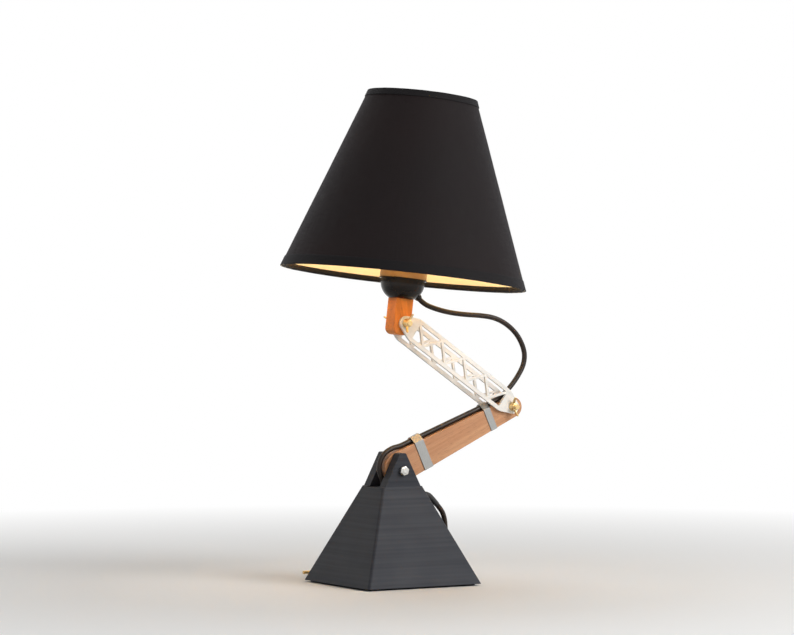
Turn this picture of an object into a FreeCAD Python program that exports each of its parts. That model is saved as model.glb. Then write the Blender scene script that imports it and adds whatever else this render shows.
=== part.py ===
import FreeCAD, Part
import math
import os

import Sketcher
from FreeCAD import Placement, Rotation, Vector

# Desk lamp with a folding lattice arm, in millimetres.
# Frame: origin on the table under the middle of the base, +Z up, +X along the
# lower arm (which rises to the right), and all three arm pivots parallel to Y.
# Near means the -Y side.

doc = FreeCAD.newDocument("accordion_desk_lamp")
sheet = doc.addObject("Spreadsheet::Sheet", "Sizes")


class Dim:
    """A size with its number and its sheet expression side by side."""

    def __init__(self, value, text):
        self.value = float(value)
        self.text = text

    def __add__(self, other):
        other = dim(other)
        return Dim(self.value + other.value, "(%s + %s)" % (self.text, other.text))

    def __radd__(self, other):
        return dim(other) + self

    def __sub__(self, other):
        other = dim(other)
        return Dim(self.value - other.value, "(%s - %s)" % (self.text, other.text))

    def __rsub__(self, other):
        return dim(other) - self

    def __mul__(self, other):
        other = dim(other)
        return Dim(self.value * other.value, "(%s * %s)" % (self.text, other.text))

    def __rmul__(self, other):
        return dim(other) * self

    def __truediv__(self, other):
        other = dim(other)
        return Dim(self.value / other.value, "(%s / %s)" % (self.text, other.text))

    def __neg__(self):
        return Dim(-self.value, "(-1 * %s)" % self.text)


def dim(number):
    if isinstance(number, Dim):
        return number
    return Dim(number, "(%.10g)" % number)


def sind(angle):
    return Dim(math.sin(math.radians(angle.value)), "sin(%s * 1 deg)" % angle.text)


def cosd(angle):
    return Dim(math.cos(math.radians(angle.value)), "cos(%s * 1 deg)" % angle.text)


def size(alias, number):
    """Enter one driving size in the sheet and hand it back."""
    size.row += 1
    sheet.set("A%d" % size.row, alias)
    sheet.set("B%d" % size.row, str(number))
    sheet.setAlias("B%d" % size.row, alias)
    return Dim(number, "Sizes." + alias)


size.row = 0

# ---------------------------------------------------------------- driving sizes
# Base
base_side = size("base_side", 150.0)
foot_height = size("foot_height", 2.0)
pad_side = size("pad_side", 138.0)
shell_corner = size("shell_corner", 3.0)
shell_wall = size("shell_wall", 3.4)
plate_thickness = size("plate_thickness", 2.0)
ballast_side = size("ballast_side", 112.0)
ballast_height = size("ballast_height", 14.0)
seam_height = size("seam_height", 109.0)
break_height = size("break_height", 112.7)
break_length = size("break_length", 53.0)
break_width = size("break_width", 48.6)
ear_top_height = size("ear_top_height", 151.0)
ear_top_length = size("ear_top_length", 7.6)
slot_width = size("slot_width", 22.0)
slot_floor_height = size("slot_floor_height", 111.7)
pivot_height = size("pivot_height", 131.0)
# Fasteners
bolt_radius = size("bolt_radius", 3.0)
running_gap = size("running_gap", 0.05)
washer_radius = size("washer_radius", 8.0)
washer_gap = size("washer_gap", 0.1)
nut_across_flats = size("nut_across_flats", 10.0)
nut_height = size("nut_height", 5.0)
bolt_head_height = size("bolt_head_height", 4.0)
bolt_stand_out = size("bolt_stand_out", 0.6)
wing_hub_foot = size("wing_hub_foot", 5.4)
wing_hub_top = size("wing_hub_top", 4.2)
wing_hub_height = size("wing_hub_height", 6.5)
wing_reach = size("wing_reach", 9.2)
wing_lift = size("wing_lift", 8.2)
wing_root_radius = size("wing_root_radius", 2.4)
wing_tip_radius = size("wing_tip_radius", 1.9)
wing_thickness = size("wing_thickness", 2.2)
wing_bolt_stand_out = size("wing_bolt_stand_out", 4.0)
# Lower arm
arm_angle = size("arm_angle", 24.2)
arm_length = size("arm_length", 170.0)
bar_thickness = size("bar_thickness", 20.0)
bar_low_radius = size("bar_low_radius", 18.35)
bar_low_shift = size("bar_low_shift", 3.5)
bar_low_rise = size("bar_low_rise", 0.75)
bar_high_radius = size("bar_high_radius", 11.6)
bar_high_shift = size("bar_high_shift", 3.0)
bar_high_rise = size("bar_high_rise", -2.1)
bar_edge = size("bar_edge", 0.8)
clip_sheet = size("clip_sheet", 1.0)
clip_low_place = size("clip_low_place", 40.0)
clip_low_width = size("clip_low_width", 12.0)
clip_high_place = size("clip_high_place", 138.2)
clip_high_width = size("clip_high_width", 8.5)
# Upper arm
truss_angle = size("truss_angle", 34.4)
truss_length = size("truss_length", 175.0)
truss_sheet = size("truss_sheet", 3.0)
truss_gap = size("truss_gap", 1.2)
truss_width = size("truss_width", 28.6)
chord_width = size("chord_width", 4.6)
strut_width = size("strut_width", 2.9)
end_margin = size("end_margin", 16.0)
eye_radius = size("eye_radius", 8.3)
bay_count = size("bay_count", 4)
# Head
head_tilt = size("head_tilt", 7.1)
axis_offset = size("axis_offset", -2.6)
block_length = size("block_length", 22.5)
block_width = size("block_width", 20.0)
block_drop = size("block_drop", 13.8)
block_rise = size("block_rise", 27.9)
block_corner = size("block_corner", 7.5)
nipple_radius = size("nipple_radius", 5.0)
nipple_depth = size("nipple_depth", 10.0)
nipple_stand_out = size("nipple_stand_out", 6.0)
nipple_bore = size("nipple_bore", 3.6)
dome_foot_radius = size("dome_foot_radius", 14.0)
dome_radius = size("dome_radius", 25.4)
dome_arc = size("dome_arc", 21.0)
dome_arc_height = size("dome_arc_height", 17.1)
dome_wall = size("dome_wall", 2.2)
flange_radius = size("flange_radius", 27.3)
flange_thickness = size("flange_thickness", 1.6)
flange_height = size("flange_height", 51.4)
skirt_radius = size("skirt_radius", 27.0)
skirt_height = size("skirt_height", 19.0)
skirt_floor = size("skirt_floor", 5.0)
sleeve_radius = size("sleeve_radius", 20.0)
sleeve_height = size("sleeve_height", 11.0)
screw_shell_wall = size("screw_shell_wall", 0.7)
contact_radius = size("contact_radius", 4.5)
contact_height = size("contact_height", 1.2)
clamp_ring_radius = size("clamp_ring_radius", 26.0)
clamp_ring_height = size("clamp_ring_height", 6.5)
# Bulb
cap_radius = size("cap_radius", 13.2)
cap_height = size("cap_height", 25.0)
globe_radius = size("globe_radius", 30.0)
globe_height = size("globe_height", 52.0)
neck_radius = size("neck_radius", 16.5)
neck_height = size("neck_height", 12.0)
glass_wall = size("glass_wall", 1.0)
# Shade
shade_low_radius = size("shade_low_radius", 142.3)
shade_top_radius = size("shade_top_radius", 63.6)
shade_height = size("shade_height", 212.3)
skin_thickness = size("skin_thickness", 1.4)
lining_thickness = size("lining_thickness", 0.4)
wire_radius = size("wire_radius", 1.5)
spoke_thickness = size("spoke_thickness", 2.4)
spoke_width = size("spoke_width", 3.0)
spoke_azimuth = size("spoke_azimuth", 59.4)
fitter_radius = size("fitter_radius", 26.5)
fitter_thickness = size("fitter_thickness", 1.2)
# Cord and plug
cord_radius = size("cord_radius", 3.0)
cord_aside = size("cord_aside", -3.0)
gland_wall = size("gland_wall", 1.5)
gland_stand_out = size("gland_stand_out", 4.5)
gland_depth = size("gland_depth", 5.5)
dome_gland_angle = size("dome_gland_angle", 39.0)
base_gland_height = size("base_gland_height", 97.5)
coil_x = size("coil_x", 85.0)
coil_y = size("coil_y", 160.0)
coil_radius = size("coil_radius", 43.0)
coil_step = size("coil_step", 7.0)
coil_rise = size("coil_rise", 6.9)
coil_turns = size("coil_turns", 3)
plug_length = size("plug_length", 30.0)
plug_width = size("plug_width", 35.0)
plug_neck_width = size("plug_neck_width", 16.0)
plug_thickness = size("plug_thickness", 14.0)
plug_corner = size("plug_corner", 3.0)
plug_sleeve = size("plug_sleeve", 12.0)
pin_radius = size("pin_radius", 2.0)
pin_length = size("pin_length", 19.0)
pin_spacing = size("pin_spacing", 18.6)

doc.recompute()

# ---------------------------------------------------------------- derived places
elbow_x = arm_length * cosd(arm_angle)
elbow_z = pivot_height + arm_length * sind(arm_angle)
head_x = elbow_x - truss_length * cosd(truss_angle)
head_z = elbow_z + truss_length * sind(truss_angle)
axis_x = head_x + axis_offset * cosd(head_tilt)
axis_z = head_z - axis_offset * sind(head_tilt)
bore_radius = bolt_radius + running_gap
near_plate = bar_thickness / 2 + truss_gap + truss_sheet / 2
plate_face = bar_thickness / 2 + truss_gap + truss_sheet

# Frames: place of the origin, turn about Y in degrees, and the sense of the turn.
GROUND = (dim(0), dim(0), dim(0), 1)
ARM = (dim(0), pivot_height, arm_angle, -1)
TRUSS = (head_x, head_z, truss_angle, 1)
HEAD = (head_x, head_z, head_tilt, 1)
AXIS = (axis_x, axis_z, head_tilt, 1)

nodes = []


def bind(obj, prop, value):
    obj.setExpression(prop, dim(value).text)


def seat(obj, frame, y=0):
    """Place an object in one of the turned frames."""
    x, z, angle, sense = frame
    obj.Placement = Placement(Vector(x.value, dim(y).value, z.value),
                              Rotation(Vector(0, sense, 0), angle.value))
    bind(obj, ".Placement.Base.x", x)
    bind(obj, ".Placement.Base.y", y)
    bind(obj, ".Placement.Base.z", z)
    if angle.value:
        bind(obj, ".Placement.Rotation.Angle", angle)


def new_body(label, frame=GROUND, y=0):
    body = doc.addObject("PartDesign::Body", label)
    body.Label = label
    seat(body, frame, y)
    nodes.append(body)
    return body


def sketch_on(body, tag, plane, offset=0):
    """Sketch on one of the body's own origin planes, moved along its normal."""
    sketch = body.newObject("Sketcher::SketchObject", body.Name + "_" + tag)
    for feature in body.Origin.OriginFeatures:
        if feature.Role == plane + "_Plane":
            sketch.AttachmentSupport = (feature, [""])
    sketch.MapMode = "FlatFace"
    offset = dim(offset)
    sketch.AttachmentOffset = Placement(Vector(0, 0, offset.value), Rotation())
    bind(sketch, ".AttachmentOffset.Base.z", offset)
    return sketch


def fix(sketch, kind, args, value):
    """Add one driving constraint, bound to its expression."""
    value = dim(value)
    index = sketch.addConstraint(Sketcher.Constraint(kind, *args, value.value))
    bind(sketch, "Constraints[%d]" % index, value)


def fix_point(sketch, geometry, end, x, y):
    fix(sketch, "DistanceX", (-1, 1, geometry, end), x)
    fix(sketch, "DistanceY", (-1, 1, geometry, end), y)


def outline(sketch, points):
    """Closed outline. A third number on a point makes the edge that leaves it an
    arc of that radius, turning left when it is positive and right when not."""
    points = [tuple(dim(number) for number in point) for point in points]
    first = sketch.GeometryCount
    ends = []
    for index, point in enumerate(points):
        following = points[(index + 1) % len(points)]
        start = Vector(point[0].value, point[1].value, 0)
        stop = Vector(following[0].value, following[1].value, 0)
        if len(point) == 2:
            sketch.addGeometry(Part.LineSegment(start, stop))
            ends.append((1, 2))
            continue
        radius = abs(point[2].value)
        left = point[2].value > 0
        chord = stop - start
        side = Vector(-chord.y, chord.x, 0).normalize()
        depth = math.sqrt(radius ** 2 - (chord.Length / 2) ** 2)
        centre = start + chord / 2 + side * (depth if left else -depth)
        begin, finish = (start, stop) if left else (stop, start)
        angle_a = math.atan2(begin.y - centre.y, begin.x - centre.x)
        angle_b = math.atan2(finish.y - centre.y, finish.x - centre.x)
        circle = Part.Circle(centre, Vector(0, 0, 1), radius)
        sketch.addGeometry(Part.ArcOfCircle(circle, angle_a, angle_b))
        ends.append((1, 2) if left else (2, 1))
    count = len(points)
    for index in range(count):
        after = (index + 1) % count
        sketch.addConstraint(Sketcher.Constraint(
            "Coincident", first + index, ends[index][1], first + after, ends[after][0]))
    for index, point in enumerate(points):
        fix_point(sketch, first + index, ends[index][0], point[0], point[1])
        if len(point) == 3:
            radius = point[2] if point[2].value > 0 else -point[2]
            fix(sketch, "Radius", (first + index,), radius)


def rectangle(sketch, left, bottom, right, top):
    outline(sketch, [(left, bottom), (right, bottom), (right, top), (left, top)])


def rounded_rectangle(sketch, half_x, half_y, corner):
    in_x = half_x - corner
    in_y = half_y - corner
    outline(sketch, [(-in_x, -half_y), (in_x, -half_y, corner), (half_x, -in_y),
                     (half_x, in_y, corner), (in_x, half_y), (-in_x, half_y, corner),
                     (-half_x, in_y), (-half_x, -in_y, corner)])


def circle(sketch, x, y, radius):
    x, y, radius = dim(x), dim(y), dim(radius)
    index = sketch.addGeometry(Part.Circle(Vector(x.value, y.value, 0), Vector(0, 0, 1),
                                           radius.value))
    fix_point(sketch, index, 3, x, y)
    fix(sketch, "Radius", (index,), radius)


def hull(sketch, first, second):
    """Outline of two circles (x, y, radius) joined by their outer tangents."""
    ax, ay, ar = (dim(number) for number in first)
    bx, by, br = (dim(number) for number in second)
    a = Vector(ax.value, ay.value, 0)
    b = Vector(bx.value, by.value, 0)
    way = b - a
    heading = math.atan2(way.y, way.x)
    spread = math.acos((ar.value - br.value) / way.Length)
    up = Vector(math.cos(heading + spread), math.sin(heading + spread), 0)
    down = Vector(math.cos(heading - spread), math.sin(heading - spread), 0)
    normal = Vector(0, 0, 1)
    circle_a = Part.Circle(a, normal, ar.value)
    circle_b = Part.Circle(b, normal, br.value)
    arc_a = sketch.addGeometry(Part.ArcOfCircle(circle_a, heading + spread,
                                                heading + 2 * math.pi - spread))
    arc_b = sketch.addGeometry(Part.ArcOfCircle(circle_b, heading - spread,
                                                heading + spread))
    top = sketch.addGeometry(Part.LineSegment(a + up * ar.value, b + up * br.value))
    low = sketch.addGeometry(Part.LineSegment(b + down * br.value, a + down * ar.value))
    fix_point(sketch, arc_a, 3, ax, ay)
    fix_point(sketch, arc_b, 3, bx, by)
    fix(sketch, "Radius", (arc_a,), ar)
    fix(sketch, "Radius", (arc_b,), br)
    for one, one_end, other, other_end in ((arc_a, 1, top, 1), (top, 2, arc_b, 2),
                                           (arc_b, 1, low, 1), (low, 2, arc_a, 2)):
        sketch.addConstraint(Sketcher.Constraint("Tangent", one, one_end, other, other_end))


def pad(body, sketch, length, both_ways=True):
    feature = body.newObject("PartDesign::Pad", sketch.Name + "_pad")
    feature.Profile = sketch
    bind(feature, "Length", length)
    feature.Midplane = both_ways
    sketch.Visibility = False
    return feature


def cut_through(body, sketch):
    feature = body.newObject("PartDesign::Pocket", sketch.Name + "_cut")
    feature.Profile = sketch
    feature.Type = "ThroughAll"
    feature.Midplane = True
    return feature


def cut_up(body, sketch):
    """Remove everything above the sketch, which faces up."""
    feature = body.newObject("PartDesign::Pocket", sketch.Name + "_cut")
    feature.Profile = sketch
    feature.Type = "ThroughAll"
    feature.Reversed = True
    return feature


def revolve(body, sketch, remove=False):
    kind = "PartDesign::Groove" if remove else "PartDesign::Revolution"
    feature = body.newObject(kind, sketch.Name + "_turn")
    feature.Profile = sketch
    feature.ReferenceAxis = (sketch, ["V_Axis"])
    feature.Angle = 360
    return feature


def loft(body, low, high, remove=False):
    kind = "PartDesign::SubtractiveLoft" if remove else "PartDesign::AdditiveLoft"
    feature = body.newObject(kind, low.Name + "_loft")
    feature.Profile = low
    feature.Sections = [high]
    feature.Ruled = True
    return feature


def pattern_along(body, feature, count, spacing):
    """Repeat a feature along the body's X axis."""
    pattern = body.newObject("PartDesign::LinearPattern", feature.Name + "_row")
    pattern.Originals = [feature]
    pattern.Direction = (feature.Profile[0], ["H_Axis"])
    bind(pattern, "Length", (count - 1) * spacing)
    bind(pattern, "Occurrences", count)
    body.Tip = pattern
    return pattern


def edges_where(feature, test):
    """Names of the edges whose middle passes a test on its place."""
    doc.recompute()
    names = []
    for index, edge in enumerate(feature.Shape.Edges):
        first, last = edge.ParameterRange
        if test(edge, edge.valueAt((first + last) / 2)):
            names.append("Edge%d" % (index + 1))
    return names


def fillet(body, feature, names, radius):
    rounding = body.newObject("PartDesign::Fillet", feature.Name + "_round")
    rounding.Base = (feature, names)
    bind(rounding, "Radius", radius)
    return rounding


def turned(label, frame, outlines, cut=None, y=0):
    """Body turned about its own Z axis from outlines in radius and height."""
    body = new_body(label, frame, y)
    sketch = sketch_on(body, "section", "XZ")
    for points in outlines:
        outline(sketch, points)
    revolve(body, sketch)
    return body


def washer(label, frame, inner_face, thickness, side):
    """Flat ring on a pivot bolt. Side is -1 for near and 1 for far."""
    body = new_body(label, frame)
    middle = inner_face + thickness / 2
    sketch = sketch_on(body, "ring", "XZ", middle * -side)
    circle(sketch, 0, 0, washer_radius)
    circle(sketch, 0, 0, bore_radius)
    pad(body, sketch, thickness)
    return body


def hexagon(sketch, across_flats):
    corner = across_flats / (2 * cosd(dim(30)))
    points = []
    for step in range(6):
        angle = dim(60.0 * step)
        points.append((corner * cosd(angle), corner * sind(angle)))
    outline(sketch, points)


def winged(label, frame, side, shaft_end=None):
    """Wing nut, or wing bolt when shaft_end gives where its shaft ends, seated on
    the outer face of a lattice plate. Its wings lie along the frame's X axis."""
    body = new_body(label, frame)
    foot = (plate_face + washer_gap) * side
    top = foot + wing_hub_height * side
    hub = sketch_on(body, "hub", "XY")
    inner = bore_radius if shaft_end is None else dim(0)
    corners = [(inner, foot), (wing_hub_foot, foot), (wing_hub_top, top), (inner, top)]
    if shaft_end is not None:
        corners = [(0, shaft_end), (bolt_radius, shaft_end), (bolt_radius, foot),
                   (wing_hub_foot, foot), (wing_hub_top, top), (0, top)]
    if side < 0:
        corners = corners[::-1]
    outline(hub, corners)
    revolve(body, hub)
    wing = sketch_on(body, "wing", "XY")
    root = (bore_radius + wing_root_radius - running_gap, foot + wing_hub_height * side / 2,
            wing_root_radius - running_gap * 2)
    tip = (wing_reach, foot + wing_lift * side, wing_tip_radius)
    hull(wing, root, tip)
    lobe = pad(body, wing, wing_thickness)
    mirror = body.newObject("PartDesign::Mirrored", label + "_pair")
    mirror.Originals = [lobe]
    for feature in body.Origin.OriginFeatures:
        if feature.Role == "YZ_Plane":
            mirror.MirrorPlane = (feature, [""])
    body.Tip = mirror
    return body


# ---------------------------------------------------------------- base
# The pyramid and the fork share one slope, so the seam between them is flush.
def base_half(full, width_at_break, height):
    return full / 2 - (full - width_at_break) / 2 * (
        (height - foot_height) / (break_height - foot_height))


def base_section(body, tag, height, inset=0):
    half_x = base_half(base_side, break_length, height) - inset
    half_y = base_half(base_side, break_width, height) - inset
    sketch = sketch_on(body, tag, "XY", height)
    if inset:
        rectangle(sketch, -half_x, -half_y, half_x, half_y)
    else:
        rounded_rectangle(sketch, half_x, half_y, shell_corner)
    return sketch


gland_slope = (base_side - break_length) / 2 / (break_height - foot_height)
gland_x = base_half(base_side, break_length, base_gland_height)
gland_angle = Dim(math.degrees(math.atan(gland_slope.value)),
                  "(atan(%s) / 1 deg)" % gland_slope.text)
gland_radius = cord_radius + gland_wall
hole_x = dim(-14.0)
hole_y = cord_aside - 1

shell = new_body("base_shell")
low = base_section(shell, "foot", foot_height)
high = base_section(shell, "seam", seam_height)
loft(shell, low, high)
inner_low = base_section(shell, "inner_foot", foot_height, shell_wall)
inner_high = base_section(shell, "inner_top", seam_height - shell_wall, shell_wall)
loft(shell, inner_low, inner_high, remove=True)
cord_hole = sketch_on(shell, "cord_hole", "XY", seam_height)
circle(cord_hole, hole_x, hole_y, cord_radius + 0.4)
cut_through(shell, cord_hole)
gland_hole = sketch_on(shell, "gland_hole", "XZ")
gland_hole.AttachmentOffset = Placement(
    Vector(gland_x.value, base_gland_height.value, 0),
    Rotation(Vector(0, 0, 1), gland_angle.value - 90))
bind(gland_hole, ".AttachmentOffset.Base.x", gland_x)
bind(gland_hole, ".AttachmentOffset.Base.y", base_gland_height)
rectangle(gland_hole, 0, -gland_depth - 2, gland_radius, gland_stand_out)
revolve(shell, gland_hole, remove=True)

plate = new_body("bottom_plate")
plate_top = foot_height + plate_thickness
plate_half_x = base_half(base_side, break_length, plate_top) - shell_wall - 0.2
plate_half_y = base_half(base_side, break_width, plate_top) - shell_wall - 0.2
sheet_outline = sketch_on(plate, "outline", "XY", foot_height)
rectangle(sheet_outline, -plate_half_x, -plate_half_y, plate_half_x, plate_half_y)
pad(plate, sheet_outline, plate_thickness, both_ways=False)

ballast = doc.addObject("Part::Box", "ballast_block")
ballast.Label = "ballast_block"
bind(ballast, "Length", ballast_side)
bind(ballast, "Width", ballast_side)
bind(ballast, "Height", ballast_height)
bind(ballast, ".Placement.Base.x", -ballast_side / 2)
bind(ballast, ".Placement.Base.y", -ballast_side / 2)
bind(ballast, ".Placement.Base.z", plate_top)
nodes.append(ballast)

# A foam sheet under the plate is what the lamp stands on.
foam = doc.addObject("Part::Box", "base_pad")
foam.Label = "base_pad"
bind(foam, "Length", pad_side)
bind(foam, "Width", pad_side)
bind(foam, "Height", foot_height)
bind(foam, ".Placement.Base.x", -pad_side / 2)
bind(foam, ".Placement.Base.y", -pad_side / 2)
nodes.append(foam)

# Two ears stand on a saddle whose sides carry on the pyramid's slope.
fork = new_body("base_fork")
saddle_low = base_section(fork, "seam", seam_height)
saddle_high = base_section(fork, "rim", break_height)
loft(fork, saddle_low, saddle_high)
ears = sketch_on(fork, "ears", "XZ")
outline(ears, [(-break_length / 2 + shell_corner, break_height),
               (break_length / 2 - shell_corner, break_height),
               (ear_top_length / 2, ear_top_height),
               (-ear_top_length / 2, ear_top_height)])
standing = pad(fork, ears, break_width)
crests = edges_where(standing, lambda edge, middle: middle.z > ear_top_height.value - 0.1
                     and abs(middle.y) < 1)
standing = fillet(fork, standing, crests, ear_top_length / 3)
slot = sketch_on(fork, "slot", "XY", slot_floor_height)
rectangle(slot, -break_length, -slot_width / 2, break_length, slot_width / 2)
cut_up(fork, slot)
bolt_hole = sketch_on(fork, "bolt_hole", "XZ")
circle(bolt_hole, 0, pivot_height, bore_radius)
cut_through(fork, bolt_hole)
fork_hole = sketch_on(fork, "cord_hole", "XY", slot_floor_height)
circle(fork_hole, hole_x, hole_y, cord_radius + 0.4)
cut_through(fork, fork_hole)

bolt = new_body("base_bolt", (dim(0), pivot_height, dim(0), 1))
shaft_length = break_width + nut_height + bolt_stand_out
head_sketch = sketch_on(bolt, "head", "XZ", -(break_width / 2 + bolt_head_height / 2))
hexagon(head_sketch, nut_across_flats)
pad(bolt, head_sketch, bolt_head_height)
shaft = sketch_on(bolt, "shaft", "XZ", -(break_width - shaft_length) / 2)
circle(shaft, 0, 0, bolt_radius)
pad(bolt, shaft, shaft_length)

nut = new_body("base_nut", (dim(0), pivot_height, dim(0), 1))
nut_sketch = sketch_on(nut, "section", "XZ", break_width / 2 + nut_height / 2)
hexagon(nut_sketch, nut_across_flats)
circle(nut_sketch, 0, 0, bore_radius)
pad(nut, nut_sketch, nut_height)

pivot = (dim(0), pivot_height, dim(0), 1)
base_washer_sheet = (slot_width - bar_thickness) / 2 - washer_gap
for side, name in ((-1, "base_washer_near"), (1, "base_washer_far")):
    washer(name, pivot, bar_thickness / 2 + washer_gap, base_washer_sheet, side)

gland = new_body("base_gland", (gland_x, base_gland_height, 90 - gland_angle, 1))
section = sketch_on(gland, "section", "XZ")
outline(section, [(cord_radius, -gland_depth), (gland_radius, -gland_depth),
                  (gland_radius, 0.1), (gland_radius + 1.2, 0.1),
                  (gland_radius + 1.2, 1.4), (cord_radius + 0.8, gland_stand_out),
                  (cord_radius, gland_stand_out)])
revolve(gland, section)

# ---------------------------------------------------------------- lower arm
bar = new_body("lower_arm_bar", ARM)
bar_sketch = sketch_on(bar, "outline", "XZ")
hull(bar_sketch, (bar_low_shift, bar_low_rise, bar_low_radius),
     (arm_length + bar_high_shift, bar_high_rise, bar_high_radius))
blank = pad(bar, bar_sketch, bar_thickness)
half = bar_thickness.value / 2
rim = edges_where(blank, lambda edge, middle: abs(abs(middle.y) - half) < 0.01)
fillet(bar, blank, rim, bar_edge)
bar_holes = sketch_on(bar, "holes", "XZ")
circle(bar_holes, 0, 0, bore_radius)
circle(bar_holes, arm_length, 0, bore_radius)
cut_through(bar, bar_holes)

# The bar's top and bottom edges are the outer tangents of its two end circles.
span = arm_length.value + bar_high_shift.value - bar_low_shift.value
drop = bar_high_rise.value - bar_low_rise.value
reach = math.hypot(span, drop)
heading = math.atan2(drop, span)
spread = math.acos((bar_low_radius.value - bar_high_radius.value) / reach)
top_normal = heading + spread
low_normal = heading - spread


def bar_top(along):
    """Height of the bar's top edge over the line of the pivots."""
    along = dim(along).value - bar_low_shift.value
    start_x = bar_low_radius.value * math.cos(top_normal)
    start_z = bar_low_rise.value + bar_low_radius.value * math.sin(top_normal)
    return start_z - (along - start_x) / math.tan(top_normal)


def bar_bottom(along):
    along = dim(along).value - bar_low_shift.value
    start_x = bar_low_radius.value * math.cos(low_normal)
    start_z = bar_low_rise.value + bar_low_radius.value * math.sin(low_normal)
    return start_z - (along - start_x) / math.tan(low_normal)


def clip(label, place, width):
    """Sheet saddle: legs down both sides of the bar, roof over the cord."""
    body = new_body(label, ARM)
    section = sketch_on(body, "section", "YZ", place)
    side = bar_thickness / 2
    top = dim(bar_top(place.value - width.value / 2))
    low = dim(bar_bottom(place.value))
    roof = top + cord_radius * 2 + 0.2
    lean = cord_radius * 0.55
    outline(section, [
        (-side - clip_sheet, low), (-side, low), (-side, top + 0.1),
        (cord_aside - lean, roof), (cord_aside + lean, roof), (side, top + 0.1),
        (side, low), (side + clip_sheet, low), (side + clip_sheet, top + 0.3),
        (cord_aside + lean + 0.3, roof + clip_sheet),
        (cord_aside - lean - 0.5, roof + clip_sheet), (-side - clip_sheet, top + 0.3)])
    pad(body, section, width)
    return body


clip("cord_clip_low", clip_low_place, clip_low_width)
clip("cord_clip_high", clip_high_place, clip_high_width)

# ---------------------------------------------------------------- elbow
washer_sheet = truss_gap - washer_gap
for side, name in ((-1, "elbow_washer_near"), (1, "elbow_washer_far")):
    washer(name, (elbow_x, elbow_z, dim(0), 1), bar_thickness / 2, washer_sheet, side)
wing_shaft_end = -(plate_face + washer_gap + wing_hub_height + wing_bolt_stand_out)
winged("elbow_wing_bolt", (elbow_x, elbow_z, dim(60.0), -1), 1, wing_shaft_end)
winged("elbow_wing_nut", (elbow_x, elbow_z, dim(99.2), -1), -1)


# ---------------------------------------------------------------- upper arm
# Each plate is cut from sheet: two chords, a zigzag of struts, and an eye at each
# end. The windows are what the struts leave between the chords' inner edges.
def truss_plate(label, side):
    body = new_body(label, TRUSS)
    middle = near_plate * -side
    bay = (truss_length - end_margin * 2) / bay_count
    inner = truss_width / 2 - chord_width
    rise = inner * 2
    run = bay / 2
    slant = math.hypot(rise.value, run.value)
    slant = Dim(slant, "sqrt(%s * %s + %s * %s)" % (rise.text, rise.text, run.text, run.text))
    across = strut_width / 2 * slant / rise
    upright = strut_width / 2 * slant / run
    web = sketch_on(body, "web", "XZ", middle)
    rectangle(web, end_margin, -truss_width / 2, truss_length - end_margin, truss_width / 2)
    pad(body, web, truss_sheet)
    for tag, eye, shoulder in (("low", dim(0), end_margin),
                               ("high", truss_length, truss_length - end_margin)):
        end = sketch_on(body, "end_" + tag, "XZ", middle)
        hull(end, (eye, 0, eye_radius), (shoulder, 0, truss_width / 2))
        pad(body, end, truss_sheet)
    up = sketch_on(body, "window_up", "XZ", middle)
    outline(up, [(end_margin + across, inner), (end_margin + run, upright - inner),
                 (end_margin + bay - across, inner)])
    row = cut_through(body, up)
    pattern_along(body, row, bay_count, bay)
    down = sketch_on(body, "window_down", "XZ", middle)
    outline(down, [(end_margin + run + across, -inner),
                   (end_margin + run + bay - across, -inner),
                   (end_margin + bay, inner - upright)])
    row = cut_through(body, down)
    pattern_along(body, row, bay_count - 1, bay)
    edge = end_margin + strut_width / 2 - 1.2
    peak = inner - (edge - end_margin + across) * rise / run
    ends = sketch_on(body, "window_ends", "XZ", middle)
    outline(ends, [(edge, -inner), (end_margin + run - across, -inner), (edge, peak)])
    outline(ends, [(truss_length - edge, -inner), (truss_length - edge, peak),
                   (truss_length - end_margin - run + across, -inner)])
    cut_through(body, ends)
    holes = sketch_on(body, "holes", "XZ", middle)
    circle(holes, 0, 0, bore_radius)
    circle(holes, truss_length, 0, bore_radius)
    body.Tip = cut_through(body, holes)
    return body


truss_plate("truss_plate_near", -1)
truss_plate("truss_plate_far", 1)

# ---------------------------------------------------------------- head
block = new_body("head_block", HEAD)
block_left = axis_offset - block_length / 2
block_right = axis_offset + block_length / 2
block_sketch = sketch_on(block, "outline", "XZ")
outline(block_sketch, [
    (block_left + block_corner, -block_drop), (block_right - block_corner, -block_drop,
                                               block_corner),
    (block_right, block_corner - block_drop), (block_right, block_rise),
    (block_left, block_rise), (block_left, block_corner - block_drop, block_corner)])
blank = pad(block, block_sketch, block_width)
uprights = edges_where(blank, lambda edge, middle: abs(abs(middle.y) - half) < 0.01
                       and middle.z < block_rise.value - 0.5)
fillet(block, blank, uprights, bar_edge)
block_hole = sketch_on(block, "bolt_hole", "XZ")
circle(block_hole, 0, 0, bore_radius)
cut_through(block, block_hole)
nipple_hole = sketch_on(block, "nipple_hole", "XY", block_rise - nipple_depth)
circle(nipple_hole, axis_offset, 0, nipple_radius)
cut_up(block, nipple_hole)

for side, name in ((-1, "head_washer_near"), (1, "head_washer_far")):
    washer(name, (head_x, head_z, dim(0), 1), block_width / 2, washer_sheet, side)
winged("head_wing_bolt", (head_x, head_z, dim(140.0), -1), 1, wing_shaft_end + 2)
winged("head_wing_nut", (head_x, head_z, dim(70.0), -1), -1)

turned("threaded_nipple", AXIS, [[
    (nipple_bore, block_rise - nipple_depth), (nipple_radius, block_rise - nipple_depth),
    (nipple_radius, block_rise + nipple_stand_out),
    (nipple_bore, block_rise + nipple_stand_out)]])

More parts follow.
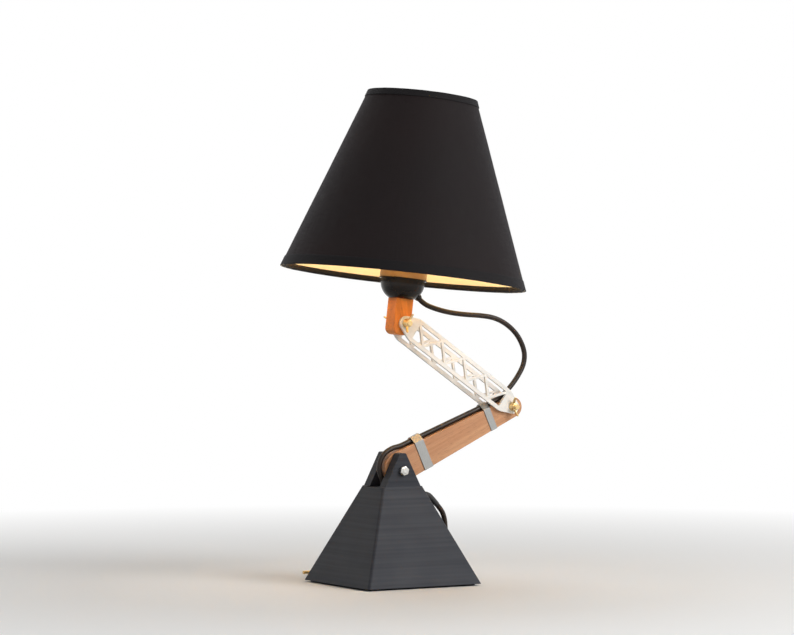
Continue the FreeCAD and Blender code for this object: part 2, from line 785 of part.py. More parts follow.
# The dome is a moulded bowl with a lip at its rim.
dome_shoulder = block_rise + dome_arc_height
dome = turned("socket_dome", AXIS, [[
    (nipple_radius, block_rise), (dome_foot_radius, block_rise, dome_arc),
    (dome_radius, dome_shoulder), (dome_radius, flange_height - flange_thickness),
    (flange_radius, flange_height - flange_thickness), (flange_radius, flange_height),
    (dome_radius - dome_wall, flange_height), (dome_radius - dome_wall, dome_shoulder,
                                               dome_wall - dome_arc),
    (dome_foot_radius - 0.6, block_rise + dome_wall), (nipple_radius, block_rise + dome_wall)]])

# The cord leaves the dome square to its side, so the gland's line passes through
# the centre of the dome's arc.
chord_x = dome_radius.value - dome_foot_radius.value
chord_z = dome_arc_height.value
chord = math.hypot(chord_x, chord_z)
depth = math.sqrt(dome_arc.value ** 2 - (chord / 2) ** 2)
arc_x = (dome_foot_radius.value + dome_radius.value) / 2 - chord_z / chord * depth
arc_z = block_rise.value + chord_z / 2 + chord_x / chord * depth
dome_hole = sketch_on(dome, "gland_hole", "XZ")
dome_hole.AttachmentOffset = Placement(
    Vector(arc_x, arc_z, 0), Rotation(Vector(0, 0, 1), -90 - dome_gland_angle.value))
rectangle(dome_hole, 0, dome_arc - dome_wall * 2, gland_radius, dome_arc + 4)
dome.Tip = revolve(dome, dome_hole, remove=True)


def in_frame(frame, along, up):
    """World point, on Y = 0, of a point of a turned frame."""
    x, z, angle, sense = frame
    turn = math.radians(angle.value) * sense
    along, up = dim(along).value, dim(up).value
    return Vector(x.value + along * math.cos(turn) + up * math.sin(turn), 0,
                  z.value - along * math.sin(turn) + up * math.cos(turn))


arc_centre = in_frame(AXIS, arc_x, arc_z)
exit_turn = dome_gland_angle + head_tilt
dome_gland = new_body("dome_gland", (dim(arc_centre.x), dim(arc_centre.z), exit_turn + 90, 1))
section = sketch_on(dome_gland, "section", "XZ")
outline(section, [(cord_radius, dome_arc - dome_wall), (gland_radius, dome_arc - dome_wall),
                  (gland_radius, dome_arc + 1.5), (cord_radius + 0.7, dome_arc + gland_stand_out),
                  (cord_radius, dome_arc + gland_stand_out)])
revolve(dome_gland, section)

skirt_top = flange_height + skirt_height
sleeve_top = skirt_top + sleeve_height
bore_floor = flange_height + skirt_floor
shell_inner = cap_radius + 0.08
shell_outer = shell_inner + screw_shell_wall
turned("socket_skirt", AXIS, [[
    (nipple_bore, flange_height), (skirt_radius, flange_height), (skirt_radius, skirt_top),
    (sleeve_radius, skirt_top), (sleeve_radius, sleeve_top), (shell_outer, sleeve_top),
    (shell_outer, bore_floor), (nipple_bore, bore_floor)]])
turned("screw_shell", AXIS, [[
    (shell_inner, bore_floor), (shell_outer, bore_floor), (shell_outer, sleeve_top - 2),
    (shell_inner, sleeve_top - 2)]])
turned("centre_contact", AXIS, [[
    (0, bore_floor), (contact_radius, bore_floor), (contact_radius, bore_floor + contact_height),
    (0, bore_floor + contact_height)]])

fitter_low = skirt_top + running_gap
fitter_top = fitter_low + fitter_thickness
ring_low = fitter_top + running_gap
turned("shade_clamp_ring", AXIS, [[
    (sleeve_radius + running_gap, ring_low), (clamp_ring_radius, ring_low),
    (clamp_ring_radius, ring_low + clamp_ring_height / 3),
    (clamp_ring_radius - 2, ring_low + clamp_ring_height),
    (sleeve_radius + running_gap, ring_low + clamp_ring_height)]])

# ---------------------------------------------------------------- bulb
cap_low = bore_floor + contact_height + 0.1
cap_top = cap_low + cap_height
turned("bulb_cap", AXIS, [[
    (0, cap_low), (contact_radius, cap_low), (cap_radius - 1.5, cap_low + 4),
    (cap_radius, cap_low + 5.5), (cap_radius, cap_top), (0, cap_top)]])
globe_middle = cap_top + globe_height
neck_top = cap_top + neck_height
# The neck's cone meets the globe at this share of its radius below the middle.
drop_share = 0.45
radius_share = math.sqrt(1 - drop_share ** 2)
inner_globe = globe_radius - glass_wall
turned("bulb_glass", AXIS, [[
    (cap_radius - 0.4 - glass_wall, cap_top), (cap_radius - 0.4, cap_top),
    (neck_radius, neck_top),
    (globe_radius * radius_share, globe_middle - globe_radius * drop_share, globe_radius),
    (0, globe_middle + globe_radius), (0, globe_middle + inner_globe, -inner_globe),
    (inner_globe * radius_share, globe_middle - inner_globe * drop_share),
    (neck_radius - glass_wall, neck_top)]])

# ---------------------------------------------------------------- shade
taper = (shade_low_radius - shade_top_radius) / shade_height
shade_top = flange_height + shade_height
skin_across = skin_thickness
lining_across = skin_across + lining_thickness
turned("shade_skin", AXIS, [[
    (shade_low_radius - skin_across, flange_height), (shade_low_radius, flange_height),
    (shade_top_radius, shade_top), (shade_top_radius - skin_across, shade_top)]])
turned("shade_lining", AXIS, [[
    (shade_low_radius - lining_across, flange_height),
    (shade_low_radius - skin_across, flange_height),
    (shade_top_radius - skin_across, shade_top),
    (shade_top_radius - lining_across, shade_top)]])

hoop_rise = wire_radius + 0.3
wire_across = wire_radius * 1.07 + 0.05
low_hoop_radius = shade_low_radius - lining_across - taper * hoop_rise - wire_across
top_hoop_radius = shade_top_radius - lining_across + taper * hoop_rise - wire_across
low_hoop_z = flange_height + hoop_rise
frame_body = new_body("shade_frame_low", AXIS)
hoop = sketch_on(frame_body, "hoop", "XZ")
circle(hoop, low_hoop_radius, low_hoop_z, wire_radius)
outline(hoop, [(sleeve_radius + running_gap, fitter_low), (fitter_radius, fitter_low),
               (fitter_radius, fitter_top), (sleeve_radius + running_gap, fitter_top)])
spoke = sketch_on(frame_body, "spoke", "XZ")
spoke.AttachmentOffset = Placement(Vector(0, 0, 0),
                                   Rotation(Vector(0, 1, 0), spoke_azimuth.value))
bind(spoke, ".AttachmentOffset.Rotation.Angle", spoke_azimuth)
outline(spoke, [(fitter_radius - 1.5, fitter_low), (fitter_radius + 4, fitter_low),
                (low_hoop_radius, low_hoop_z - spoke_thickness / 2),
                (low_hoop_radius, low_hoop_z + spoke_thickness / 2),
                (fitter_radius + 4, fitter_low + spoke_thickness),
                (fitter_radius, fitter_top), (fitter_radius - 1.5, fitter_top)])
ring = revolve(frame_body, hoop)
arm_of_frame = pad(frame_body, spoke, spoke_width)
spokes = frame_body.newObject("PartDesign::PolarPattern", "shade_frame_spokes")
spokes.Originals = [arm_of_frame]
for feature in frame_body.Origin.OriginFeatures:
    if feature.Role == "Z_Axis":
        spokes.Axis = (feature, [""])
spokes.Angle = 360
spokes.Occurrences = 3
frame_body.Tip = spokes

top_hoop = new_body("shade_hoop_top", AXIS)
section = sketch_on(top_hoop, "section", "XZ")
circle(section, top_hoop_radius, shade_top - hoop_rise, wire_radius)
revolve(top_hoop, section)


# ---------------------------------------------------------------- cord
def tube(label, points, radius):
    """Round tube along straight runs joined by tangent arcs. Each arc takes 0.45
    of the shorter run beside it. Prints the arcs' radii and checks the volume."""
    points = [Vector(*point) for point in points]
    edges = []
    radii = []
    start = points[0]
    for before, corner, after in zip(points, points[1:], points[2:]):
        way_in = corner - before
        way_out = after - corner
        half_turn = way_in.getAngle(way_out) / 2
        cut = 0.45 * min(way_in.Length, way_out.Length)
        way_in.normalize()
        way_out.normalize()
        arc_start = corner - way_in * cut
        arc_end = corner + way_out * cut
        bend = cut / math.tan(half_turn)
        inward = (way_out - way_in).normalize()
        middle = corner + inward * (bend / math.cos(half_turn) - bend)
        edges.append(Part.LineSegment(start, arc_start).toShape())
        edges.append(Part.Arc(arc_start, middle, arc_end).toShape())
        radii.append(round(bend, 1))
        start = arc_end
    edges.append(Part.LineSegment(start, points[-1]).toShape())
    return sweep(label, edges, radius, radii)


def sweep(label, edges, radius, radii):
    path = Part.Wire(edges)
    start = edges[0].valueAt(edges[0].FirstParameter)
    direction = edges[0].tangentAt(edges[0].FirstParameter)
    ring = Part.Wire(Part.Circle(start, direction, radius).toShape())
    solid = path.makePipeShell([ring], True, False)
    expected = math.pi * radius ** 2 * path.Length
    print(label, "length", round(path.Length, 1), "radii", radii,
          "volume ratio", round(solid.Volume / expected, 4))
    feature = doc.addObject("Part::Feature", label)
    feature.Label = label
    feature.Shape = solid
    nodes.append(feature)
    return feature


thick = cord_radius.value
lay = cord_aside.value


def on_bar(along):
    """Middle of the cord where it lies on the bar's top edge."""
    point = in_frame(ARM, along, bar_top(along) + thick + 0.05)
    return (point.x, lay, point.z)


arm_start = on_bar(27.0)
arm_end = on_bar(146.0)
# From the hole in the slot's floor round the end of the bar and onto its top.
floor_z = slot_floor_height.value
tube("cord_bend", [
    (hole_x.value, hole_y.value, floor_z - 2.5),
    (hole_x.value - 0.2, hole_y.value, floor_z + 6.0),
    (hole_x.value - 5.0, hole_y.value, floor_z + 15.0),
    (-20.3, hole_y.value, 138.0),
    (-14.5, hole_y.value + 0.4, 149.2),
    (-3.3, lay - 0.3, 155.9),
    on_bar(18.0),
    arm_start], thick)
run_edges = [Part.LineSegment(Vector(*arm_start), Vector(*arm_end)).toShape()]
sweep("cord_run", run_edges, thick, [])
# The loop from the bar to the head, in two stretches that meet over the lattice.
loop_bend = (119.5, 0.0, 307.3)
loop_turn = (97.5, 0.0, 308.5)
loop_split = tuple((Vector(*loop_bend) + Vector(*loop_turn)) * 0.5)
arm_way = (Vector(*arm_end) - Vector(*arm_start)).normalize()
loop_foot = Vector(*arm_end) + arm_way * 9.0
tube("cord_loop_low", [
    arm_end,
    tuple(loop_foot),
    (147.0, -1.8, 212.3),
    (161.5, -0.9, 224.6),
    (172.6, -0.4, 238.2),
    (179.2, 0.0, 249.6),
    (180.8, 0.2, 262.0),
    (176.4, 0.2, 274.6),
    (168.0, 0.1, 286.8),
    (154.6, 0.0, 297.5),
    (138.6, 0.0, 304.6),
    loop_bend,
    loop_split], thick)
exit_way = math.radians(exit_turn.value)
gland_reach = dome_arc.value + gland_stand_out.value - 1.0
head_exit = arc_centre + Vector(math.cos(exit_way), 0, -math.sin(exit_way)) * gland_reach
bend_point = head_exit + Vector(math.cos(exit_way), 0, -math.sin(exit_way)) * 8.5
tube("cord_loop_high", [
    loop_split,
    loop_turn,
    (75.0, 0.0, 311.3),
    (55.5, 0.0, 316.2),
    tuple(bend_point),
    tuple(head_exit)], thick)

# Mains lead: out of the pyramid's rear-right face, down to the table, and back
# to a flat coil of two layers behind the base.
gland_way = math.radians(gland_angle.value)
face_point = Vector(gland_x.value, 0, base_gland_height.value)
outward = Vector(math.cos(gland_way), 0, math.sin(gland_way))
lead_exit = face_point + outward * (gland_stand_out.value - 1.0)
table = thick + 0.05
start_x = coil_x.value + coil_radius.value
start_y = coil_y.value
tube("mains_lead", [
    tuple(lead_exit),
    (39.3, 0.0, 100.2),
    (43.6, 0.0, 100.7),
    (48.0, 0.0, 99.6),
    (51.8, 0.0, 97.0),
    (60.0, 0.0, 88.8),
    (70.0, 0.6, 77.5),
    (73.4, 2.5, 58.0),
    (73.6, 7.0, 38.0),
    (78.5, 14.0, 20.0),
    (89.0, 27.0, 8.0),
    (100.0, 46.0, table),
    (112.0, 72.0, table),
    (122.0, 100.0, table),
    (start_x, 128.0, table),
    (start_x, start_y - thick * 2, table)], thick)


# The coil: half turns whose radius changes by half a step each, so that the turns
# spiral in on the lower layer and out again on the upper one.
def half_turn(centre, radius, east_side, height):
    """Two quarter arcs turning left, from the east end to the west or back."""
    sign = 1 if east_side else -1
    points = []
    for quarter in range(5):
        angle = math.pi * quarter / 4
        points.append(Vector(centre + sign * radius * math.cos(angle),
                             coil_y.value + sign * radius * math.sin(angle), height))
    return [Part.Arc(points[0], points[1], points[2]).toShape(),
            Part.Arc(points[2], points[3], points[4]).toShape()]


def biarc(start, start_way, stop, stop_way):
    """Two arcs that leave one point along one way and reach another along another."""
    gap = stop - start
    ways = start_way + stop_way
    b = gap.dot(ways)
    c = gap.dot(gap)
    a = 2 * (1 - start_way.dot(stop_way))
    reach = (-b + math.sqrt(b * b + a * c)) / a
    joint = (start + stop + (start_way - stop_way) * reach) * 0.5
    pieces = []
    for first, way, last in ((start, start_way, joint), (stop, stop_way * -1, joint)):
        line = last - first
        normal = way.cross(line).cross(way).normalize()
        bend = line.dot(line) / (2 * line.dot(normal))
        centre = first + normal * bend
        middle = centre + ((first + last) * 0.5 - centre).normalize() * bend
        pieces.append((first, middle, last))
    first, middle, last = pieces[1]
    return [Part.Arc(*pieces[0]).toShape(), Part.Arc(last, middle, first).toShape()]


turns = int(round(coil_turns.value))
half_step = coil_step.value / 2
level_low = table
level_top = table + coil_rise.value
coil_edges = [Part.LineSegment(Vector(start_x, start_y - thick * 2, table),
                               Vector(start_x, start_y, table)).toShape()]
radius = coil_radius.value
end_x = start_x
east = True
for step in range(turns * 2):
    centre = end_x - radius if east else end_x + radius
    coil_edges += half_turn(centre, radius, east, level_low)
    end_x = centre - radius if east else centre + radius
    radius -= half_step
    east = not east
climb = radius
sign = 1 if east else -1
centre = end_x - sign * climb
middle_z = (level_low + level_top) / 2
slope = coil_rise.value * 1.6
foot_point = Vector(end_x, coil_y.value, level_low)
middle_point = Vector(centre, coil_y.value + sign * climb, middle_z)
top_point = Vector(centre - sign * climb, coil_y.value, level_top)
middle_way = Vector(-sign * math.pi * climb, 0, slope).normalize()
coil_edges += biarc(foot_point, Vector(0, sign, 0), middle_point, middle_way)
coil_edges += biarc(middle_point, middle_way, top_point, Vector(0, -sign, 0))
end_x = centre - sign * climb
east = not east
radius = climb
for step in range(turns * 2):
    radius += half_step
    centre = end_x - radius if east else end_x + radius
    coil_edges += half_turn(centre, radius, east, level_top)
    end_x = centre - radius if east else centre + radius
    east = not east
leave = 1 if east else -1
coil_end = Vector(end_x, coil_y.value + leave * thick * 2, level_top)
coil_edges.append(Part.LineSegment(Vector(end_x, coil_y.value, level_top), coil_end).toShape())
sweep("mains_coil", coil_edges, thick, [])

samples = []
travelled = 0.0
for edge in coil_edges:
    count = max(2, int(edge.Length / 2.0))
    first, last = edge.ParameterRange
    for index in range(count):
        point = edge.valueAt(first + (last - first) * index / count)
        samples.append((travelled + edge.Length * index / count, point))
    travelled += edge.Length
least = min((one.distanceToPoint(other)
             for index, (place, one) in enumerate(samples)
             for far, other in samples[index + 1:]
             if far - place > 8 * thick), default=0) - 2 * thick
print("coil length", round(travelled, 1), "least gap between turns", round(least, 2))

plug_z = plug_thickness.value / 2
plug_face_x = 4.0
plug_y = 99.0
tube("mains_tail", [
    tuple(coil_end),
    (end_x, coil_end.y - 12.0, level_top),
    (end_x - 1.5, coil_end.y - 26.0, level_top - 1.6),
    (end_x - 8.0, coil_end.y - 40.0, 6.2),
    (end_x - 20.0, coil_end.y - 50.5, 5.6),
    (end_x - 31.0, plug_y, plug_z),
    (plug_face_x, plug_y, plug_z)], thick)

# Flat two-pin plug, lying on the table with its pins pointing away from the cord.
plug_frame = (dim(plug_face_x), dim(0), dim(0), 1)
plug = new_body("plug_body", plug_frame, plug_y)
plug_sketch = sketch_on(plug, "outline", "XY")
neck = -plug_sleeve
face = neck - plug_length
outline(plug_sketch, [
    (neck, -plug_neck_width / 2), (neck, plug_neck_width / 2),
    (neck - plug_length * 0.45, plug_width / 2), (face, plug_width / 2),
    (face, -plug_width / 2), (neck - plug_length * 0.45, -plug_width / 2)])
blank = pad(plug, plug_sketch, plug_thickness, both_ways=False)
upright = edges_where(blank, lambda edge, middle: abs(edge.tangentAt(0).z) > 0.9)
fillet(plug, blank, upright, plug_corner)
sleeve = sketch_on(plug, "sleeve", "XZ")
sleeve.AttachmentOffset = Placement(Vector(0, plug_z, 0), Rotation(Vector(0, 0, 1), 90))
bind(sleeve, ".AttachmentOffset.Base.y", plug_thickness / 2)
outline(sleeve, [(0, 0), (cord_radius + 0.9, 0), (cord_radius + 2.6, plug_sleeve + 0.5),
                 (0, plug_sleeve + 0.5)])
plug.Tip = revolve(plug, sleeve)
for side, name in ((-1, "plug_pin_near"), (1, "plug_pin_far")):
    pin = new_body(name, plug_frame, plug_y)
    pin_sketch = sketch_on(pin, "section", "YZ", face)
    circle(pin_sketch, pin_spacing / 2 * side, plug_thickness / 2, pin_radius)
    rod = pad(pin, pin_sketch, pin_length, both_ways=False)
    rod.Reversed = True

# ---------------------------------------------------------------- check and write
doc.recompute()
bad = []
for obj in doc.Objects:
    if "Invalid" in obj.State or "Error" in obj.State:
        bad.append("%s %s" % (obj.Name, obj.State))
for node in nodes:
    shape = node.Shape
    if shape.isNull() or not shape.isValid() or not shape.Solids:
        bad.append("%s shape" % node.Label)
if bad:
    raise RuntimeError("failed: " + ", ".join(bad))

os.makedirs("parts", exist_ok=True)
for node in nodes:
    node.Shape.exportStep(os.path.join("parts", node.Label + ".step"))
    print(node.Label, len(node.Shape.Solids), round(node.Shape.Volume, 1))
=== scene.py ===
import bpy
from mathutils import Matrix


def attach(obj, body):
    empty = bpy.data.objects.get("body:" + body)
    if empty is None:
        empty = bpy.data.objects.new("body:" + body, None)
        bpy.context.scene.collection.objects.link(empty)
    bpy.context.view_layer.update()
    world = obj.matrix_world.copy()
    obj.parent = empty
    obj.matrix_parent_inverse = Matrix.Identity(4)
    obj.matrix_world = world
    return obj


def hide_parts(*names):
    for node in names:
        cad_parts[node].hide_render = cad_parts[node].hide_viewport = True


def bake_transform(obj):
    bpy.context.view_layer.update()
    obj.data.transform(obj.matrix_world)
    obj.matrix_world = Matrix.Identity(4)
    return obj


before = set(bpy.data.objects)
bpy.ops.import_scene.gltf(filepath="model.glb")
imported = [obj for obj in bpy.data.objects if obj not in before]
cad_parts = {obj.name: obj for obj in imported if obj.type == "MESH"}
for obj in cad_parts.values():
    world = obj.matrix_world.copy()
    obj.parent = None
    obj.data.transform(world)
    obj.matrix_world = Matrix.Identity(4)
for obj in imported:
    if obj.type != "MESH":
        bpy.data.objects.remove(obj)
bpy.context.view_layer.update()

import math

import bpy
from mathutils import Matrix, Vector

# ---------------------------------------------------------------- camera
# The lamp stands on a table. It is seen from its near left side through a long
# lens, from 4.2 m away and a little above the elbow.
yaw = math.radians(-30.60)
pitch = math.radians(1.09)
bpy.ops.object.camera_add(location=(-2.1394, -3.6281, 0.3862),
                          rotation=(math.pi / 2 - pitch, 0, yaw))
camera = bpy.context.object
camera.name = "camera"
camera.data.sensor_width = 36
camera.data.lens = 166.19
camera.data.clip_end = 40
bpy.context.scene.camera = camera

# ---------------------------------------------------------------- arm cord
# Round three-core flex, 6 mm thick, in dark brown plastic. It comes up between the
# ears of the base, lies on the bar under two clips and loops over to the lamp
# holder. It is drawn as three still pieces; the real flex bends with the arm at all three
# pivots.
flex_width = 0.006


def node(tree, kind, sockets=None, **settings):
    """A shader node with its settings, and values or links for its sockets."""
    made = tree.nodes.new("ShaderNode" + kind)
    for name, value in settings.items():
        setattr(made, name, value)
    for name, value in (sockets or {}).items():
        if isinstance(value, bpy.types.NodeSocket):
            tree.links.new(value, made.inputs[name])
        else:
            made.inputs[name].default_value = value
    return made


def finish(name, colour, roughness, **others):
    """A material and its surface shader, with the plain values already set."""
    material = bpy.data.materials.new(name)
    material.use_nodes = True
    surface = material.node_tree.nodes["Principled BSDF"]
    surface.inputs["Base Color"].default_value = (*colour, 1)
    surface.inputs["Roughness"].default_value = roughness
    for socket, value in others.items():
        surface.inputs[socket.replace("_", " ")].default_value = value
    return material, material.node_tree, surface


def group(name, inputs, outputs):
    """An empty node group with its named sockets."""
    made = bpy.data.node_groups.new(name, "ShaderNodeTree")
    for socket, kind, value in inputs:
        way_in = made.interface.new_socket(socket, in_out="INPUT",
                                           socket_type="NodeSocket" + kind)
        if value is not None:
            way_in.default_value = value
    for socket, kind in outputs:
        made.interface.new_socket(socket, in_out="OUTPUT", socket_type="NodeSocket" + kind)
    return made, made.nodes.new("NodeGroupInput"), made.nodes.new("NodeGroupOutput")


def place(tree, effect, sockets=None):
    """A shared effect set into a material."""
    return node(tree, "Group", sockets, node_tree=effect)


def mix_colours(tree, amount, first, second, way="MIX"):
    """The first colour turning into the second by an amount."""
    made = node(tree, "Mix", data_type="RGBA", blend_type=way)
    for index, value in ((0, amount), (6, first), (7, second)):
        if isinstance(value, bpy.types.NodeSocket):
            tree.links.new(value, made.inputs[index])
        else:
            made.inputs[index].default_value = value
    return made.outputs[2]


def spread(tree, value, low, high, from_low=0.0, from_high=1.0):
    """A value moved from one range to another."""
    return node(tree, "MapRange", {"Value": value, "From Min": from_low,
                                   "From Max": from_high, "To Min": low,
                                   "To Max": high}).outputs["Result"]


# Handling: faint smears and fine dust that change how a surface shines.
handled, here, out = group("handled", [("Size", "Float", 60.0)],
                           [("Smear", "Float"), ("Speck", "Float")])
where = node(handled, "TexCoord").outputs["Object"]
smear = node(handled, "TexNoise", {"Vector": where, "Scale": here.outputs["Size"],
                                   "Detail": 5.0, "Roughness": 0.6})
speck = node(handled, "TexNoise", {"Vector": where, "Scale": 1800.0, "Detail": 2.0})
handled.links.new(spread(handled, smear.outputs["Fac"], 0, 1, 0.3, 0.7), out.inputs["Smear"])
handled.links.new(spread(handled, speck.outputs["Fac"], 0, 1, 0.35, 0.65),
                  out.inputs["Speck"])

# Soft edge: the small round that every worked edge has, and where it is rubbed.
soft_edge, here, out = group("soft_edge", [("Width", "Float", 0.0004)],
                             [("Normal", "Vector"), ("Edge", "Float")])
rounded = node(soft_edge, "Bevel", {"Radius": here.outputs["Width"]}, samples=4)
flat = node(soft_edge, "NewGeometry").outputs["Normal"]
likeness = node(soft_edge, "VectorMath", {0: rounded.outputs["Normal"], 1: flat},
                operation="DOT_PRODUCT").outputs["Value"]
soft_edge.links.new(rounded.outputs["Normal"], out.inputs["Normal"])
soft_edge.links.new(spread(soft_edge, likeness, 1, 0, 0.75, 0.99), out.inputs["Edge"])


def bump(tree, surface, height, strength, distance, normal=None):
    """Relief on a surface, in metres, over its soft edges if it has them."""
    made = node(tree, "Bump", {"Height": height, "Strength": strength,
                               "Distance": distance})
    if normal:
        tree.links.new(normal, made.inputs["Normal"])
    tree.links.new(made.outputs["Normal"], surface.inputs["Normal"])


flex, tree, surface = finish("flex", (0.022, 0.014, 0.010), 0.40)
surface.inputs["Specular IOR Level"].default_value = 0.28
marks = place(tree, handled, {"Size": 90.0})
tree.links.new(mix_colours(tree, marks.outputs["Smear"], (0.030, 0.018, 0.011, 1),
                           (0.014, 0.010, 0.008, 1)), surface.inputs["Base Color"])
tree.links.new(spread(tree, marks.outputs["Smear"], 0.30, 0.46), surface.inputs["Roughness"])
bump(tree, surface, marks.outputs["Speck"], 0.25, 0.00008)


def draw_route(name, route):
    """A smooth open line held by the route's points."""
    curve = bpy.data.curves.new(name, "CURVE")
    curve.dimensions = "3D"
    curve.resolution_u = 8
    spline = curve.splines.new("NURBS")
    spline.points.add(len(route) - 1)
    for point, spot in zip(spline.points, route):
        point.co = (*spot, 1)
    spline.order_u = 3
    spline.use_endpoint_u = True
    piece = bpy.data.objects.new(name, curve)
    bpy.context.collection.objects.link(piece)
    return piece


def line_of(piece):
    """The smooth line of a route, while it has no thickness."""
    bpy.context.view_layer.update()
    mesh = bpy.data.meshes.new_from_object(piece)
    line = [tuple(vertex.co) for vertex in mesh.vertices]
    bpy.data.meshes.remove(mesh)
    return line


def pick(piece):
    """Make one object the only one selected."""
    if bpy.context.object and bpy.context.object.mode != "OBJECT":
        bpy.ops.object.mode_set(mode="OBJECT")
    bpy.ops.object.select_all(action="DESELECT")
    piece.select_set(True)
    bpy.context.view_layer.objects.active = piece


def thicken(piece, width, material):
    """Give a route its round section and make it a mesh."""
    piece.data.bevel_depth = width / 2
    piece.data.bevel_resolution = 5
    piece.data.use_fill_caps = True
    pick(piece)
    bpy.ops.object.convert(target="MESH")
    bpy.ops.object.shade_smooth()
    piece.data.materials.clear()
    piece.data.materials.append(material)


bar_foot = (0.01608, -0.0030, 0.16108)
bar_end = (0.12739, -0.0030, 0.20371)
loop_split = (0.1085, 0.0, 0.3079)

cord_foot = draw_route("arm_cord_foot", [
    (-0.0140, -0.0040, 0.1092), (-0.0142, -0.0040, 0.1177), (-0.0190, -0.0040, 0.1267),
    (-0.0203, -0.0040, 0.1380), (-0.0145, -0.0036, 0.1492), (-0.0033, -0.0033, 0.1559),
    (0.00766, -0.0030, 0.15786), bar_foot, bar_end])
cord_foot_line = line_of(cord_foot)
thicken(cord_foot, flex_width, flex)
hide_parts("cord_bend", "cord_run")
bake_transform(cord_foot)

cord_loop = draw_route("arm_cord_loop", [
    bar_end, (0.13579, -0.0030, 0.20693), (0.1470, -0.0018, 0.2123),
    (0.1615, -0.0009, 0.2246), (0.1726, -0.0004, 0.2382), (0.1792, 0.0, 0.2496),
    (0.1808, 0.0002, 0.2620), (0.1764, 0.0002, 0.2746), (0.1680, 0.0001, 0.2868),
    (0.1546, 0.0, 0.2975), (0.1386, 0.0, 0.3046), (0.1195, 0.0, 0.3073), loop_split])
cord_loop_line = line_of(cord_loop)
thicken(cord_loop, flex_width, flex)
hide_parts("cord_loop_low")
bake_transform(cord_loop)

cord_head = draw_route("arm_cord_head", [
    loop_split, (0.0975, 0.0, 0.3085), (0.0750, 0.0, 0.3113), (0.0555, 0.0, 0.3162),
    (0.04116, 0.0, 0.32180), (0.03526, 0.0, 0.32792)])
cord_head_line = line_of(cord_head)
thicken(cord_head, flex_width, flex)
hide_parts("cord_loop_high")
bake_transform(cord_head)

# ---------------------------------------------------------------- mains lead
# The same flex from the back of the base to the wall plug. It falls to the table
# and the spare length lies behind the base in a flat coil of two layers.
table_level = 0.00305
lead_route = [
    (0.03637, 0.0, 0.09890), (0.0393, 0.0, 0.1002), (0.0436, 0.0, 0.1007),
    (0.0480, 0.0, 0.0996), (0.0518, 0.0, 0.0970), (0.0600, 0.0, 0.0888),
    (0.0700, 0.0006, 0.0775), (0.0734, 0.0025, 0.0580), (0.0736, 0.0070, 0.0380),
    (0.0785, 0.0140, 0.0200), (0.0890, 0.0270, 0.0080), (0.1000, 0.0460, table_level),
    (0.1120, 0.0720, table_level), (0.1220, 0.1000, table_level),
    (0.1280, 0.1280, table_level), (0.1280, 0.1540, table_level)]
coil_radii = [
    0.0430, 0.0395, 0.0360, 0.0325, 0.0290, 0.0255, 0.0220,
    0.0255, 0.0290, 0.0325, 0.0360, 0.0395, 0.0430]
layer_rise = 0.0069
points_per_half = 8
bulge = 1 / math.cos(math.pi / points_per_half / 2)
coil_middle_y = 0.160
turn_end = 0.128
side = 1
mains_route = list(lead_route)
for half, radius in enumerate(coil_radii):
    middle = turn_end - side * radius
    for step in range(points_per_half):
        share = (step + 0.5) / points_per_half
        climb = 0.0 if half < 6 else 1.0 if half > 6 else share * share * (3 - 2 * share)
        mains_route.append((middle + side * radius * bulge * math.cos(math.pi * share),
                            coil_middle_y + side * radius * bulge * math.sin(math.pi * share),
                            table_level + layer_rise * climb))
    turn_end = middle - side * radius
    side = -side
mains_route += [
    (0.0420, 0.1540, 0.00995), (0.0420, 0.1420, 0.00995), (0.0405, 0.1280, 0.00835),
    (0.0340, 0.1140, 0.0062), (0.0220, 0.1035, 0.0056), (0.0110, 0.0990, 0.0070),
    (0.0040, 0.0990, 0.0070)]
mains = draw_route("mains_cord", mains_route)
mains.data.resolution_u = 4
mains.data.bevel_depth = flex_width / 2
mains.data.bevel_resolution = 4
mains.data.use_fill_caps = True
mains.data.materials.append(flex)
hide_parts("mains_lead", "mains_coil", "mains_tail")
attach(mains, "base")

# The sleeve that keeps the flex from kinking where it leaves the base: soft rubber,
# 24 mm long, tapering down to the flex.
sleeve = draw_route("lead_sleeve", lead_route[:6])
for point, swell in zip(sleeve.data.splines[0].points, (1.45, 1.42, 1.36, 1.28, 1.20, 1.06)):
    point.radius = swell
rubber, tree, surface = finish("rubber", (0.014, 0.014, 0.015), 0.62)
marks = place(tree, handled, {"Size": 130.0})
tree.links.new(spread(tree, marks.outputs["Smear"], 0.55, 0.72), surface.inputs["Roughness"])
tree.links.new(mix_colours(tree, marks.outputs["Smear"], (0.012, 0.012, 0.013, 1),
                           (0.022, 0.021, 0.021, 1)), surface.inputs["Base Color"])
bump(tree, surface, marks.outputs["Speck"], 0.35, 0.0001)
thicken(sleeve, flex_width, rubber)
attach(sleeve, "base")


def start_block(name, low, high):
    """A cube stretched between two corners, ready to be shaped in edit mode."""
    bpy.ops.object.select_all(action="DESELECT")
    middle = [(a + b) / 2 for a, b in zip(low, high)]
    bpy.ops.mesh.primitive_cube_add(size=1, location=middle)
    piece = bpy.context.object
    piece.name = name
    piece.scale = [b - a for a, b in zip(low, high)]
    bpy.ops.object.transform_apply(location=True, rotation=True, scale=True)
    return piece


def choose(piece, test, mode="VERT"):
    """In edit mode, select what passes a test of its place and its normal. For an
    edge the second value is the way it runs."""
    bpy.ops.mesh.select_mode(type=mode)
    bpy.ops.mesh.select_all(action="DESELECT")
    bpy.ops.object.mode_set(mode="OBJECT")
    mesh = piece.data
    if mode == "VERT":
        for vertex in mesh.vertices:
            vertex.select = test(vertex.co, vertex.normal)
    elif mode == "EDGE":
        for edge in mesh.edges:
            first, last = (mesh.vertices[index].co for index in edge.vertices)
            edge.select = test((first + last) / 2, last - first)
    else:
        for face in mesh.polygons:
            face.select = test(face.center, face.normal)
    bpy.ops.object.mode_set(mode="EDIT")


